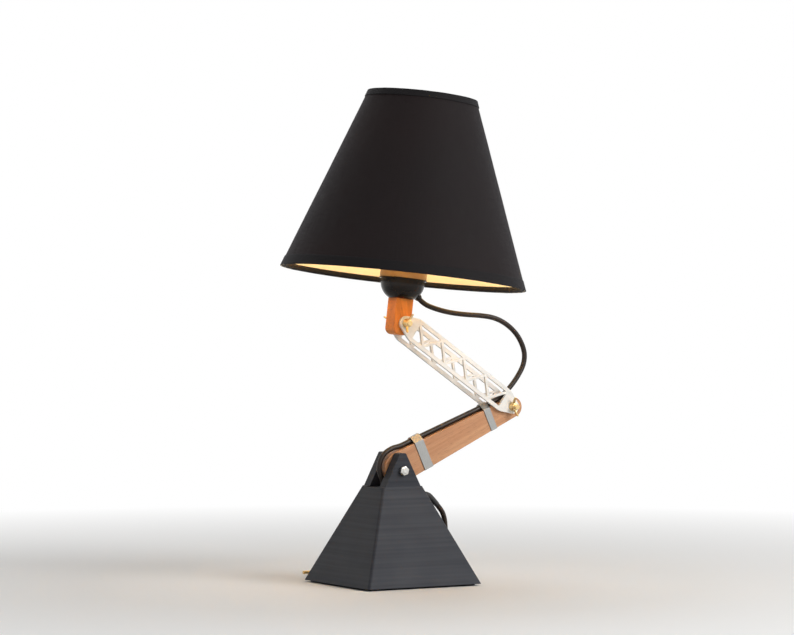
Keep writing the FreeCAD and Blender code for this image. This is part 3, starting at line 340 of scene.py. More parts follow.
def apply(piece, kind, **settings):
    """Add one modifier and apply it."""
    pick(piece)
    made = piece.modifiers.new(kind.lower(), kind)
    for name, value in settings.items():
        setattr(made, name, value)
    bpy.ops.object.modifier_apply(modifier=made.name)


# The plug: two round pins in a flat moulded grip, ribbed on both sides, that lies
# on the table beside the coil.
plug_middle = (0, 0.099, 0.007)
plug = start_block("plug_grip", (-0.038, 0.0815, 0.0), (-0.008, 0.1165, 0.014))
bpy.ops.object.mode_set(mode="EDIT")
choose(plug, lambda spot, way: abs(way.x) > 0.9, "EDGE")
bpy.ops.mesh.subdivide(number_cuts=8)
choose(plug, lambda spot, way: spot.x > -0.0245)
for vertex_x, share in ((-0.008, 0.47), (-0.0113, 0.60), (-0.0147, 0.75), (-0.018, 0.88),
                        (-0.0213, 0.97)):
    choose(plug, lambda spot, way: abs(spot.x - vertex_x) < 0.001)
    bpy.ops.transform.resize(value=(1, share, 1 - (1 - share) * 0.25),
                             center_override=plug_middle)
choose(plug, lambda spot, way: abs(way.y) > 0.5 and spot.x < -0.010, "FACE")
bpy.ops.mesh.inset(thickness=0.0011, use_individual=True)
bpy.ops.transform.resize(value=(1, 0.955, 1), center_override=plug_middle)
choose(plug, lambda spot, way: way.x > 0.9, "FACE")
bpy.ops.mesh.inset(thickness=0.0028)
bpy.ops.mesh.extrude_region_move(TRANSFORM_OT_translate={"value": (0.006, 0, 0)})
bpy.ops.transform.resize(value=(1, 0.82, 0.86), center_override=plug_middle)
bpy.ops.mesh.extrude_region_move(TRANSFORM_OT_translate={"value": (0.006, 0, 0)})
bpy.ops.transform.resize(value=(1, 0.85, 0.9), center_override=plug_middle)
bpy.ops.object.mode_set(mode="OBJECT")
apply(plug, "BEVEL", width=0.0006, segments=2, limit_method="ANGLE", angle_limit=0.6)
bpy.ops.object.shade_smooth_by_angle(angle=0.7)
plug.data.materials.append(rubber)
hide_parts("plug_body")
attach(plug, "base")

# ---------------------------------------------------------------- base
# A four-sided pyramid printed in charcoal plastic, hollow, with a fork of two ears
# on top. Its layers show as fine level lines. A steel plate, a ballast block and a
# foam sheet close it below.


def dress(material, *names):
    """Give a carried-over solid its finish."""
    for name in names:
        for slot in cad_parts[name].material_slots:
            slot.material = material


# Print layers: fine parallel lines along one direction, no two quite alike.
print_lines, here, out = group("print_lines", [("Turn", "Vector", None)],
                               [("Height", "Float"), ("Tone", "Float")])
where = node(print_lines, "TexCoord").outputs["Object"]
turned_place = node(print_lines, "Mapping", {"Vector": where,
                                             "Rotation": here.outputs["Turn"]})
long_place = node(print_lines, "VectorMath", {0: turned_place.outputs["Vector"],
                                              1: (5.0, 5.0, 900.0)},
                  operation="MULTIPLY").outputs["Vector"]
layer = node(print_lines, "TexNoise", {"Vector": long_place, "Scale": 1.0, "Detail": 1.0})
band_place = node(print_lines, "VectorMath", {0: turned_place.outputs["Vector"],
                                              1: (3.0, 3.0, 260.0)},
                  operation="MULTIPLY").outputs["Vector"]
band = node(print_lines, "TexNoise", {"Vector": band_place, "Scale": 1.0, "Detail": 2.0})
depth = node(print_lines, "SeparateXYZ", {0: turned_place.outputs["Vector"]}).outputs["Z"]
ridge = node(print_lines, "Math", {0: depth, 1: 15700.0}, operation="MULTIPLY").outputs[0]
ridge = node(print_lines, "Math", {0: ridge}, operation="SINE").outputs[0]
total = node(print_lines, "Math", {0: spread(print_lines, ridge, 0, 0.5, -1, 1),
                                   1: layer.outputs["Fac"]}, operation="ADD").outputs[0]
print_lines.links.new(total, out.inputs["Height"])
print_lines.links.new(spread(print_lines, band.outputs["Fac"], 0, 1, 0.35, 0.65),
                      out.inputs["Tone"])

charcoal, tree, surface = finish("charcoal_print", (0.030, 0.032, 0.038), 0.46)
surface.inputs["Specular IOR Level"].default_value = 0.10
lines = place(tree, print_lines)
marks = place(tree, handled, {"Size": 25.0})
edges = place(tree, soft_edge, {"Width": 0.0006})
tone = mix_colours(tree, lines.outputs["Tone"], (0.037, 0.040, 0.049, 1),
                   (0.050, 0.053, 0.063, 1))
tone = mix_colours(tree, spread(tree, edges.outputs["Edge"], 0, 0.35), tone,
                   (0.09, 0.09, 0.095, 1))
tree.links.new(tone, surface.inputs["Base Color"])
tree.links.new(spread(tree, marks.outputs["Smear"], 0.40, 0.52), surface.inputs["Roughness"])
bump(tree, surface, lines.outputs["Height"], 0.5, 0.00007, edges.outputs["Normal"])
dress(charcoal, "base_shell", "base_fork")

mild_steel, tree, surface = finish("mild_steel", (0.30, 0.30, 0.30), 0.5, Metallic=1.0)
marks = place(tree, handled, {"Size": 40.0})
tree.links.new(mix_colours(tree, marks.outputs["Smear"], (0.36, 0.36, 0.36, 1),
                           (0.22, 0.21, 0.20, 1)), surface.inputs["Base Color"])
bump(tree, surface, marks.outputs["Speck"], 0.3, 0.00006)
dress(mild_steel, "bottom_plate", "ballast_block")

foam, tree, surface = finish("foam", (0.02, 0.02, 0.021), 0.95)
cells = node(tree, "TexVoronoi", {"Vector": node(tree, "TexCoord").outputs["Object"],
                                  "Scale": 900.0})
bump(tree, surface, cells.outputs["Distance"], 0.8, 0.0003)
tree.links.new(mix_colours(tree, cells.outputs["Distance"], (0.03, 0.03, 0.031, 1),
                           (0.010, 0.010, 0.011, 1)), surface.inputs["Base Color"])
dress(foam, "base_pad")

# A plated bolt and nut clamp the ears on the bar. The thread stands out of the nut,
# and the corners of both hexagons are turned off round.


def turn(name, profile, steps=48):
    """A turned piece about Z: one point, drawn along the profile and spun round."""
    bpy.ops.object.select_all(action="DESELECT")
    bpy.ops.mesh.primitive_plane_add(size=0.01)
    piece = bpy.context.object
    piece.name = name
    bpy.ops.object.mode_set(mode="EDIT")
    bpy.ops.mesh.select_all(action="SELECT")
    bpy.ops.mesh.merge(type="CENTER")
    bpy.ops.mesh.select_mode(type="VERT")
    bpy.ops.mesh.select_all(action="SELECT")
    radius, height = profile[0]
    bpy.ops.transform.translate(value=(radius, 0, height))
    for (radius, height), (wider, higher) in zip(profile, profile[1:]):
        bpy.ops.mesh.extrude_region_move(
            TRANSFORM_OT_translate={"value": (wider - radius, 0, higher - height)})
    bpy.ops.mesh.select_all(action="SELECT")
    bpy.ops.mesh.spin(steps=steps, angle=2 * math.pi, center=(0, 0, 0), axis=(0, 0, 1))
    bpy.ops.mesh.select_all(action="SELECT")
    bpy.ops.mesh.remove_doubles(threshold=0.00002)
    bpy.ops.mesh.normals_make_consistent(inside=False)
    bpy.ops.object.mode_set(mode="OBJECT")
    return piece


def put(piece, spot, turns):
    """Turn a piece about X, then Y, then Z, and put it in its place for good."""
    pick(piece)
    piece.rotation_euler = [math.radians(angle) for angle in turns]
    piece.location = spot
    bpy.ops.object.transform_apply(location=True, rotation=True, scale=True)


def hexagon(name, across, low, high):
    """A nut or a bolt head about Z, with its outer corners turned off at the top."""
    bpy.ops.object.select_all(action="DESELECT")
    bpy.ops.mesh.primitive_cylinder_add(vertices=6, radius=across / math.sqrt(3),
                                        depth=high - low, location=(0, 0, (low + high) / 2))
    piece = bpy.context.object
    piece.name = name
    bpy.ops.object.transform_apply(location=True, rotation=True, scale=True)
    bpy.ops.object.mode_set(mode="EDIT")
    choose(piece, lambda spot, way: way.z > 0.9, "FACE")
    bpy.ops.mesh.inset(thickness=across * 0.11)
    choose(piece, lambda spot, way: abs(spot.z - high) < 1e-6
           and spot.xy.length > across * 0.5)
    bpy.ops.transform.translate(value=(0, 0, -across * 0.05))
    bpy.ops.object.mode_set(mode="OBJECT")
    apply(piece, "BEVEL", width=across * 0.035, segments=3, limit_method="ANGLE",
          angle_limit=0.3)
    bpy.ops.object.shade_smooth_by_angle(angle=0.6)
    return piece


zinc, tree, surface = finish("zinc_plate", (0.62, 0.61, 0.58), 0.27, Metallic=1.0)
marks = place(tree, handled, {"Size": 220.0})
tree.links.new(mix_colours(tree, marks.outputs["Smear"], (0.72, 0.71, 0.68, 1),
                           (0.50, 0.49, 0.46, 1)), surface.inputs["Base Color"])
tree.links.new(spread(tree, marks.outputs["Smear"], 0.20, 0.38), surface.inputs["Roughness"])
bump(tree, surface, marks.outputs["Speck"], 0.2, 0.00004)


def thread(name, radius, low, high, pitch=0.0007):
    """The last turns of a cut thread about Z, with a small chamfer at its end."""
    profile = [(0.0, low), (radius - 0.0002, low)]
    level = low
    while level + pitch < high - 0.0004:
        profile += [(radius, level + pitch * 0.35), (radius - 0.0003, level + pitch * 0.85)]
        level += pitch
    profile += [(radius - 0.0001, high - 0.0004), (radius - 0.0006, high), (0.0, high)]
    piece = turn(name, profile, 32)
    bpy.ops.object.shade_smooth_by_angle(angle=0.5)
    return piece


def join(name, *pieces):
    """Make several finished meshes one piece."""
    pick(pieces[0])
    for piece in pieces:
        piece.select_set(True)
    bpy.ops.object.join()
    pieces[0].name = name
    return pieces[0]


pivot_height = 0.131
ear_face = 0.0243
bolt_head = hexagon("pivot_bolt_head", 0.010, 0.0, 0.004)
put(bolt_head, (0, ear_face, pivot_height), (-90, 0, 0))
bolt_shaft = thread("pivot_bolt_shaft", 0.003, 0.0, 0.0542)
put(bolt_shaft, (0, ear_face, pivot_height), (90, 0, 0))
pivot_bolt = join("pivot_bolt", bolt_head, bolt_shaft)
pivot_nut = hexagon("pivot_nut", 0.010, 0.0, 0.005)
put(pivot_nut, (0, -ear_face, pivot_height), (90, 12, 0))
for piece, stands_for in ((pivot_bolt, "base_bolt"), (pivot_nut, "base_nut")):
    piece.data.materials.clear()
    piece.data.materials.append(zinc)
    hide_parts(stands_for)
    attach(piece, "base")

nylon, tree, surface = finish("nylon", (0.70, 0.69, 0.66), 0.5, Subsurface_Weight=0.1)
surface.inputs["Subsurface Radius"].default_value = (0.002, 0.002, 0.002)
marks = place(tree, handled, {"Size": 200.0})
tree.links.new(mix_colours(tree, marks.outputs["Smear"], (0.74, 0.73, 0.70, 1),
                           (0.62, 0.60, 0.56, 1)), surface.inputs["Base Color"])
bump(tree, surface, marks.outputs["Speck"], 0.2, 0.00005)
dress(nylon, "base_washer_near", "base_washer_far", "elbow_washer_near",
      "elbow_washer_far", "head_washer_near", "head_washer_far")

# ---------------------------------------------------------------- lower arm
# A bar of oiled hardwood with round ends. Two saddles of bent sheet hold the cord
# down on its upper edge. Its broad side is bare wood.
wood_grain, here, out = group("wood_grain", [("Turn", "Vector", None)],
                              [("Ring", "Float"), ("Pore", "Float")])
where = node(wood_grain, "TexCoord").outputs["Object"]
turned_place = node(wood_grain, "Mapping", {"Vector": where,
                                            "Rotation": here.outputs["Turn"]})
ring_place = node(wood_grain, "VectorMath", {0: turned_place.outputs["Vector"],
                                             1: (7.0, 60.0, 130.0)},
                  operation="MULTIPLY").outputs["Vector"]
ring = node(wood_grain, "TexNoise", {"Vector": ring_place, "Scale": 1.0, "Detail": 4.0,
                                     "Distortion": 0.8})
pore_place = node(wood_grain, "VectorMath", {0: turned_place.outputs["Vector"],
                                             1: (110.0, 1500.0, 1900.0)},
                  operation="MULTIPLY").outputs["Vector"]
pore = node(wood_grain, "TexNoise", {"Vector": pore_place, "Scale": 1.0, "Detail": 2.0})
wood_grain.links.new(spread(wood_grain, ring.outputs["Fac"], 0, 1, 0.3, 0.7),
                     out.inputs["Ring"])
wood_grain.links.new(spread(wood_grain, pore.outputs["Fac"], 1, 0, 0.30, 0.44),
                     out.inputs["Pore"])


def oiled_wood(name, light, dark, turns):
    """Oiled wood with its grain turned along the piece."""
    material, tree, surface = finish(name, light, 0.5)
    grain = place(tree, wood_grain, {"Turn": [math.radians(angle) for angle in turns]})
    marks = place(tree, handled, {"Size": 30.0})
    edges = place(tree, soft_edge, {"Width": 0.0005})
    tone = mix_colours(tree, grain.outputs["Ring"], (*light, 1), (*dark, 1))
    tone = mix_colours(tree, spread(tree, grain.outputs["Pore"], 0, 0.55), tone,
                       (dark[0] * 0.45, dark[1] * 0.4, dark[2] * 0.35, 1))
    tree.links.new(tone, surface.inputs["Base Color"])
    tree.links.new(spread(tree, marks.outputs["Smear"], 0.42, 0.60),
                   surface.inputs["Roughness"])
    relief = node(tree, "Math", {0: grain.outputs["Pore"], 1: -1.0},
                  operation="MULTIPLY").outputs[0]
    bump(tree, surface, relief, 0.4, 0.00012, edges.outputs["Normal"])
    return material


dress(oiled_wood("bar_wood", (0.62, 0.33, 0.17), (0.47, 0.215, 0.098), (0, 24.2, 0)),
      "lower_arm_bar")

satin_sheet, tree, surface = finish("satin_sheet", (0.32, 0.32, 0.31), 0.38, Metallic=1.0)
where = node(tree, "TexCoord").outputs["Object"]
brushed = node(tree, "VectorMath", {0: where, 1: (200.0, 40.0, 60.0)}, operation="MULTIPLY")
brushed = node(tree, "TexNoise", {"Vector": brushed.outputs["Vector"], "Scale": 8.0,
                                  "Detail": 3.0})
edges = place(tree, soft_edge, {"Width": 0.0003})
tree.links.new(mix_colours(tree, brushed.outputs["Fac"], (0.26, 0.26, 0.25, 1),
                           (0.37, 0.37, 0.36, 1)), surface.inputs["Base Color"])
tree.links.new(spread(tree, brushed.outputs["Fac"], 0.30, 0.50), surface.inputs["Roughness"])
bump(tree, surface, brushed.outputs["Fac"], 0.2, 0.00005, edges.outputs["Normal"])
dress(satin_sheet, "cord_clip_low", "cord_clip_high")

# ---------------------------------------------------------------- elbow and head knobs
# A brass wing bolt passes through each pivot from the far side, and a wing nut on the
# near side draws the lattice plates against the wood. Their wings are cast, thin and rounded.
brass, tree, surface = finish("brass", (0.80, 0.60, 0.30), 0.28, Metallic=1.0)
marks = place(tree, handled, {"Size": 150.0})
edges = place(tree, soft_edge, {"Width": 0.0003})
tone = mix_colours(tree, marks.outputs["Smear"], (0.86, 0.66, 0.34, 1), (0.62, 0.42, 0.18, 1))
tone = mix_colours(tree, spread(tree, edges.outputs["Edge"], 0, 0.5), tone,
                   (0.95, 0.80, 0.50, 1))
tree.links.new(tone, surface.inputs["Base Color"])
tree.links.new(spread(tree, marks.outputs["Smear"], 0.20, 0.40), surface.inputs["Roughness"])
bump(tree, surface, marks.outputs["Speck"], 0.2, 0.00005, edges.outputs["Normal"])


def wings(name, spot, facing, angle, shaft, stands_for, body):
    """A wing nut or wing bolt. Facing is -1 for near and 1 for far. Its shaft runs
    back through the pivot and stands out in front of the hub."""
    hub = turn(name, [(0.0029, 0.0), (0.0054, 0.0), (0.0054, 0.0010), (0.0047, 0.0030),
                      (0.0043, 0.0055), (0.0039, 0.0063), (0.0029, 0.0065),
                      (0.0029, 0.0)], 40)
    bpy.ops.object.shade_smooth_by_angle(angle=0.7)
    parts = [hub]
    for way in (1, -1):
        wing = start_block(name + "_wing", (-0.0011, -0.0015, 0.0006), (0.0011, 0.0015, 0.0060))
        bpy.ops.object.mode_set(mode="EDIT")
        bpy.ops.mesh.select_all(action="SELECT")
        bpy.ops.transform.translate(value=(0.0038, 0, 0))
        choose(wing, lambda at, way_out: way_out.x > 0.9, "FACE")
        bpy.ops.mesh.extrude_region_move(TRANSFORM_OT_translate={"value": (0.0024, 0, 0.0017)})
        bpy.ops.transform.resize(value=(1, 0.85, 0.86))
        bpy.ops.mesh.extrude_region_move(TRANSFORM_OT_translate={"value": (0.0024, 0, 0.0022)})
        bpy.ops.transform.resize(value=(1, 0.95, 0.95))
        bpy.ops.mesh.extrude_region_move(TRANSFORM_OT_translate={"value": (0.0018, 0, 0.0012)})
        bpy.ops.transform.resize(value=(1, 0.75, 0.65))
        bpy.ops.object.mode_set(mode="OBJECT")
        apply(wing, "SUBSURF", levels=2, render_levels=2)
        bpy.ops.object.shade_smooth()
        if way < 0:
            put(wing, (0, 0, 0), (0, 0, 180))
        parts.append(wing)
    if shaft:
        parts.append(thread(name + "_shaft", 0.003, shaft[0], shaft[1]))
    piece = join(name, *parts)
    put(piece, (0, 0, 0), (0, 0, angle if facing < 0 else -angle))
    put(piece, spot, (90, 0, 0) if facing < 0 else (-90, 0, 0))
    piece.data.materials.clear()
    piece.data.materials.append(brass)
    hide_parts(stands_for)
    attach(piece, body)
    return piece


elbow = (0.155060, 0.200687)
head = (0.010666, 0.299556)
plate_face = 0.0143
wings("elbow_wings_far", (elbow[0], plate_face, elbow[1]), 1, 60, (-0.0391, 0.0066),
      "elbow_wing_bolt", "lower_arm")
wings("elbow_wings_near", (elbow[0], -plate_face, elbow[1]), -1, 99.2, None,
      "elbow_wing_nut", "elbow_knob")
wings("head_wings_far", (head[0], plate_face, head[1]), 1, 140, (-0.0371, 0.0066),
      "head_wing_bolt", "head")
wings("head_wings_near", (head[0], -plate_face, head[1]), -1, 70, None,
      "head_wing_nut", "head_knob")
dress(brass, "bulb_cap", "centre_contact", "plug_pin_near", "plug_pin_far", "screw_shell",
      "threaded_nipple")

# ---------------------------------------------------------------- upper arm
# Two lattice plates printed flat in white plastic, so their faces show the lines of
# the last layer, laid along the plate.
white_print, tree, surface = finish("white_print", (0.86, 0.85, 0.82), 0.42)
lines = place(tree, print_lines, {"Turn": (0, math.radians(-34.4), 0)})
marks = place(tree, handled, {"Size": 60.0})
edges = place(tree, soft_edge, {"Width": 0.0004})
tone = mix_colours(tree, lines.outputs["Tone"], (0.88, 0.87, 0.84, 1),
                   (0.80, 0.79, 0.76, 1))
tree.links.new(tone, surface.inputs["Base Color"])
tree.links.new(spread(tree, marks.outputs["Smear"], 0.36, 0.5), surface.inputs["Roughness"])
bump(tree, surface, lines.outputs["Height"], 0.35, 0.00006, edges.outputs["Normal"])
dress(white_print, "truss_plate_near", "truss_plate_far")

# ---------------------------------------------------------------- head
# A block of the same wood carries the lamp holder, a glossy moulded dome with a
# skirt inside the shade, on a short brass tube. The block and the skirt carry painted
# lamplight: the bulb's warm light is painted into their colours.
# The block's deep orange is painted lamplight, a lit copy of the bar's wood, not its own colour.
dress(oiled_wood("block_wood_painted_lamplight", (0.86, 0.28, 0.028), (0.60, 0.165, 0.015), (0, 97.1, 0)),
      "head_block")

black_gloss, tree, surface = finish("black_gloss", (0.007, 0.006, 0.006), 0.16)
surface.inputs["Specular IOR Level"].default_value = 0.22
marks = place(tree, handled, {"Size": 70.0})
tree.links.new(mix_colours(tree, marks.outputs["Smear"], (0.006, 0.005, 0.005, 1),
                           (0.012, 0.009, 0.008, 1)), surface.inputs["Base Color"])
tree.links.new(spread(tree, marks.outputs["Smear"], 0.12, 0.26), surface.inputs["Roughness"])
bump(tree, surface, marks.outputs["Speck"], 0.06, 0.00004)
dress(black_gloss, "socket_dome", "dome_gland", "base_gland", "shade_clamp_ring")

# The skirt's amber brown is painted lamplight: the bulb's warm light falling on it, painted as
# colour.
skirt_lamplight, tree, surface = finish("skirt_painted_lamplight", (0.30, 0.17, 0.06), 0.4)
marks = place(tree, handled, {"Size": 80.0})
tree.links.new(mix_colours(tree, marks.outputs["Smear"], (0.34, 0.20, 0.07, 1),
                           (0.24, 0.13, 0.045, 1)), surface.inputs["Base Color"])
tree.links.new(spread(tree, marks.outputs["Smear"], 0.32, 0.48), surface.inputs["Roughness"])
dress(skirt_lamplight, "socket_skirt")

# ---------------------------------------------------------------- bulb
# An opal globe, lit, with a warm white light.
opal, tree, surface = finish("opal_glass", (0.95, 0.90, 0.82), 0.25, Emission_Strength=13.0)
cloud = node(tree, "TexNoise", {"Vector": node(tree, "TexCoord").outputs["Object"],
                                "Scale": 35.0, "Detail": 3.0})
tree.links.new(mix_colours(tree, cloud.outputs["Fac"], (1.0, 0.80, 0.52, 1),
                           (1.0, 0.84, 0.58, 1)), surface.inputs["Emission Color"])
dress(opal, "bulb_glass")

# ---------------------------------------------------------------- shade
# Black cotton laminated on a stiff cone, lined with gold foil. Each rim is bound
# with a turned strip of the same cloth over a wire hoop. One seam runs down behind.
shade_foot = Vector((0.0080855, 0, 0.2998775))
lean = 7.1
rim_height = 0.0514
shade_height = 0.2123
low_radius = 0.1423
top_radius = 0.0636


def radius_at(share):
    """The shade's outer radius at a share of its height."""
    return low_radius + (top_radius - low_radius) * share


weave, here, out = group("weave", [("Vector", "Vector", None)],
                         [("Height", "Float"), ("Slub", "Float")])
across = node(weave, "SeparateXYZ", {0: here.outputs["Vector"]})
waves = []
for axis in ("X", "Y"):
    wave = node(weave, "Math", {0: across.outputs[axis], 1: math.pi}, operation="MULTIPLY")
    waves.append(node(weave, "Math", {0: wave.outputs[0]}, operation="SINE").outputs[0])
crossing = node(weave, "Math", {0: waves[0], 1: waves[1]}, operation="MULTIPLY").outputs[0]
crossing = node(weave, "Math", {0: crossing}, operation="ABSOLUTE").outputs[0]
slubs = []
for stretch in ((0.02, 0.5, 1.0), (0.5, 0.012, 1.0)):
    long_place = node(weave, "VectorMath", {0: here.outputs["Vector"], 1: stretch},
                      operation="MULTIPLY").outputs["Vector"]
    slubs.append(node(weave, "TexNoise", {"Vector": long_place, "Scale": 1.0,
                                          "Detail": 3.0}).outputs["Fac"])
slub = node(weave, "Math", {0: slubs[0], 1: slubs[1]}, operation="MULTIPLY").outputs[0]
weave.links.new(crossing, out.inputs["Height"])
weave.links.new(spread(weave, slub, 0, 1, 0.17, 0.33), out.inputs["Slub"])


def black_cloth(name, glow):
    """Close black cotton. The light inside comes through it as a faint red."""
    material, tree, surface = finish(name, (0.010, 0.009, 0.010), 0.72, Sheen_Weight=0.03,
                                     Sheen_Roughness=0.4)
    surface.inputs["Specular IOR Level"].default_value = 0.12
    surface.inputs["Sheen Tint"].default_value = (0.8, 0.8, 1.0, 1)
    threads = node(tree, "Mapping", {"Vector": node(tree, "UVMap").outputs["UV"],
                                     "Scale": (1600.0, 560.0, 1.0)})
    cloth = place(tree, weave, {"Vector": threads.outputs["Vector"]})
    tone = mix_colours(tree, cloth.outputs["Slub"], (0.0075, 0.0066, 0.0070, 1),
                       (0.013, 0.0115, 0.0125, 1))
    tree.links.new(tone, surface.inputs["Base Color"])
    tree.links.new(spread(tree, cloth.outputs["Slub"], 0.62, 0.82),
                   surface.inputs["Roughness"])
    if glow:
        surface.inputs["Emission Strength"].default_value = 1.0
        patch = node(tree, "TexNoise", {"Vector": node(tree, "TexCoord").outputs["Object"],
                                        "Scale": 9.0})
        tree.links.new(mix_colours(tree, patch.outputs["Fac"], (0, 0, 0, 1),
                                   (0.0060, 0.0014, 0.0008, 1)),
                       surface.inputs["Emission Color"])
    bump(tree, surface, cloth.outputs["Height"], 0.35, 0.00012)
    return material


def cone(name, bottom, top, low, high, rows, material):
    """An open band of the shade's cone, between two heights over the holder."""
    bpy.ops.object.select_all(action="DESELECT")
    bpy.ops.mesh.primitive_cone_add(vertices=128, radius1=bottom, radius2=top,
                                    depth=high - low, end_fill_type="NOTHING",
                                    location=(0, 0, (low + high) / 2), calc_uvs=True)
    piece = bpy.context.object
    piece.name = name
    bpy.ops.object.transform_apply(location=True, rotation=True, scale=True)
    bpy.ops.object.mode_set(mode="EDIT")
    choose(piece, lambda spot, way: abs(way.z) > (high - low) * 0.5, "EDGE")
    bpy.ops.mesh.subdivide(number_cuts=rows)
    bpy.ops.object.mode_set(mode="OBJECT")
    piece.data.materials.append(material)
    return piece


def seat_shade(piece):
    """Stand a piece of the shade on the leaning holder."""
    put(piece, shade_foot, (0, lean, 0))


cloth_body = black_cloth("shade_cloth", True)
cloth_hem = black_cloth("hem_cloth", False)
cover = cone("shade_cover", low_radius - 0.0006, top_radius - 0.0006, rim_height + 0.0004,
             rim_height + shade_height - 0.0004, 14, cloth_body)
apply(cover, "SOLIDIFY", thickness=0.0008, offset=-1)
waver = bpy.data.textures.new("shade_waver", "CLOUDS")
waver.noise_scale = 0.09
apply(cover, "DISPLACE", texture=waver, strength=0.0006, mid_level=0.5)
bpy.ops.object.shade_smooth_by_angle(angle=0.8)
seat_shade(cover)
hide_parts("shade_skin")
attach(cover, "shade")

for name, low, high in (("shade_hem_low", 0.0, 0.0115), ("shade_hem_top", 0.2046, 0.2123)):
    bottom = radius_at(low / shade_height)
    top = radius_at(high / shade_height)
    hem = cone(name, bottom + 0.0002, top + 0.0002, rim_height + low, rim_height + high, 5,
               cloth_hem)
    ripple = bpy.data.textures.new(name + "_ripple", "CLOUDS")
    ripple.noise_scale = 0.014
    apply(hem, "SOLIDIFY", thickness=0.0011, offset=-1)
    apply(hem, "BEVEL", width=0.0004, segments=3, limit_method="ANGLE", angle_limit=1.0)
    apply(hem, "DISPLACE", texture=ripple, strength=0.0003, mid_level=0.5)
    bpy.ops.object.shade_smooth_by_angle(angle=1.2)
    seat_shade(hem)
    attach(hem, "shade")

# The binding turns in round the hoop, and is pressed on the foil above it.
hoop_wrap = [(0.1417, 0.0002), (0.1385, 0.0001), (0.1367, 0.0007), (0.13625, 0.0022),
             (0.1368, 0.0040), (0.1380, 0.0062)]
turn_in = turn("shade_turn_in", [(radius, rim_height + rise) for radius, rise in hoop_wrap], 128)
apply(turn_in, "SOLIDIFY", thickness=0.0003, offset=0)
turn_ripple = bpy.data.textures.new("turn_in_ripple", "CLOUDS")
turn_ripple.noise_scale = 0.012
apply(turn_in, "DISPLACE", texture=turn_ripple, strength=0.0004, mid_level=0.5)
turn_in.data.materials.append(cloth_hem)
bpy.ops.object.shade_smooth()
seat_shade(turn_in)
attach(turn_in, "shade")

# The lap where the cloth's two ends meet.
seam = cone("shade_seam", low_radius - 0.0002, radius_at(0.955) - 0.0002, rim_height + 0.0105,
            rim_height + shade_height * 0.957, 14, cloth_hem)
bpy.ops.object.mode_set(mode="EDIT")
choose(seam, lambda spot, way: abs(math.atan2(spot.y, spot.x) - 1.3) > 0.052, "FACE")
bpy.ops.mesh.delete(type="FACE")
bpy.ops.object.mode_set(mode="OBJECT")
apply(seam, "SOLIDIFY", thickness=0.0005, offset=-1)
bpy.ops.object.shade_smooth_by_angle(angle=0.8)
seat_shade(seam)
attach(seam, "shade")

# Gold foil with a painted glow: its emission stands in for the bulb's warm light on the lining.
foil_painted_glow, tree, surface = finish("gold_foil", (0.85, 0.58, 0.24), 0.42, Metallic=0.35)
surface.inputs["Emission Strength"].default_value = 0.35
crease = node(tree, "TexNoise", {"Vector": node(tree, "TexCoord").outputs["Object"],
                                 "Scale": 55.0, "Detail": 4.0})
tree.links.new(mix_colours(tree, crease.outputs["Fac"], (0.93, 0.72, 0.38, 1),
                           (0.82, 0.58, 0.26, 1)), surface.inputs["Base Color"])
tree.links.new(mix_colours(tree, crease.outputs["Fac"], (1.0, 0.86, 0.54, 1),
                           (0.96, 0.73, 0.36, 1)), surface.inputs["Emission Color"])
bump(tree, surface, crease.outputs["Fac"], 0.25, 0.0006)
dress(foil_painted_glow, "shade_lining")

wire, tree, surface = finish("wire_enamel", (0.72, 0.70, 0.64), 0.35)
marks = place(tree, handled, {"Size": 90.0})
tree.links.new(mix_colours(tree, marks.outputs["Smear"], (0.76, 0.74, 0.68, 1),
                           (0.60, 0.57, 0.50, 1)), surface.inputs["Base Color"])
tree.links.new(spread(tree, marks.outputs["Smear"], 0.28, 0.45), surface.inputs["Roughness"])
dress(wire, "shade_frame_low", "shade_hoop_top")

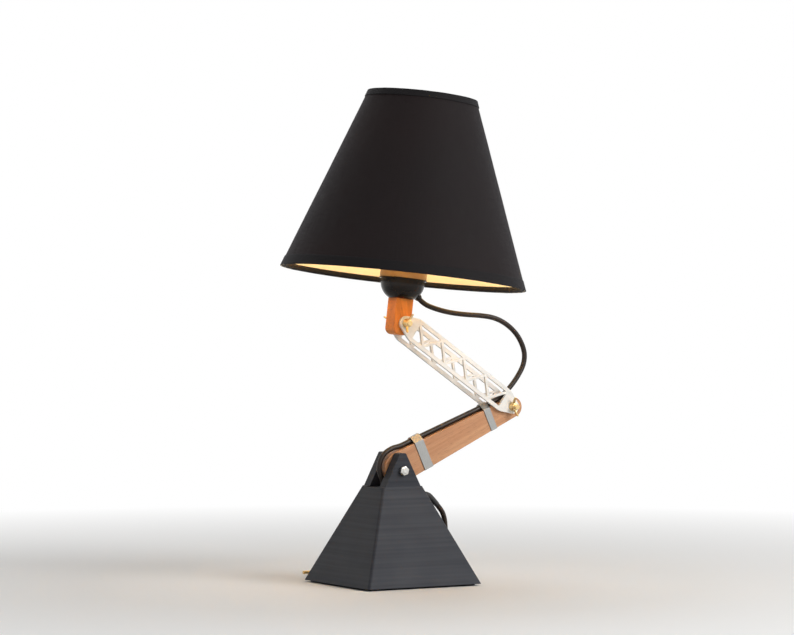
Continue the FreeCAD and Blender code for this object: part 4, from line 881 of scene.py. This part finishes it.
# ---------------------------------------------------------------- table and light
# A plain pale table top that fades to white, and three large soft lamps.
bpy.ops.object.select_all(action="DESELECT")
bpy.ops.mesh.primitive_plane_add(size=16, location=(0, 0, -0.0002))
floor = bpy.context.object
floor.name = "table_top"
pale, tree, surface = finish("pale_top", (0.80, 0.795, 0.78), 0.7)
where = node(tree, "TexCoord").outputs["Object"]
distance = node(tree, "VectorMath", {0: where}, operation="LENGTH").outputs["Value"]
far = spread(tree, distance, 0, 1, 0.35, 1.3)
rays = node(tree, "LightPath").outputs
seen = node(tree, "Math", {0: rays["Is Camera Ray"], 1: rays["Is Glossy Ray"]},
            operation="MAXIMUM").outputs[0]
seen = node(tree, "Math", {0: seen, 1: rays["Is Transmission Ray"]},
            operation="MAXIMUM").outputs[0]
amount = node(tree, "Math", {0: far, 1: seen}, operation="MULTIPLY").outputs[0]
white = node(tree, "Emission", {"Color": (1, 1, 1, 1), "Strength": 1.0})
blend = node(tree, "MixShader", {0: amount, 1: surface.outputs["BSDF"],
                                 2: white.outputs["Emission"]})
tree.links.new(blend.outputs["Shader"], tree.nodes["Material Output"].inputs["Surface"])
floor.data.materials.append(pale)

world = bpy.data.worlds.new("studio")
world.use_nodes = True
bpy.context.scene.world = world
tree = world.node_tree
rays = node(tree, "LightPath").outputs
seen = node(tree, "Math", {0: rays["Is Camera Ray"], 1: rays["Is Transmission Ray"]},
            operation="MAXIMUM").outputs[0]
soft = tree.nodes["Background"]
soft.inputs["Color"].default_value = (1.0, 0.99, 0.97, 1)
soft.inputs["Strength"].default_value = 0.16
bright = node(tree, "Background", {"Color": (1, 1, 1, 1), "Strength": 1.0})
seen = node(tree, "Math", {0: seen, 1: rays["Is Glossy Ray"]},
            operation="MAXIMUM").outputs[0]
both = node(tree, "MixShader", {0: seen, 1: soft.outputs["Background"],
                                2: bright.outputs["Background"]})
tree.links.new(both.outputs["Shader"], tree.nodes["World Output"].inputs["Surface"])

lamp_target = Vector((0.05, 0, 0.28))
for name, spot, power, width in (("key", (1.0, -1.8, 1.3), 38, 1.1),
                                 ("fill", (-1.9, -0.9, 0.9), 0.8, 1.4),
                                 ("top", (0.2, 0.8, 2.0), 12, 1.4)):
    bpy.ops.object.light_add(type="AREA", location=spot)
    lamp = bpy.context.object
    lamp.name = name + "_light"
    lamp.data.energy = power
    lamp.data.size = width
    toward = lamp_target - Vector(spot)
    lamp.rotation_euler = toward.to_track_quat("-Z", "Y").to_euler()

bpy.context.scene.view_settings.view_transform = "Standard"
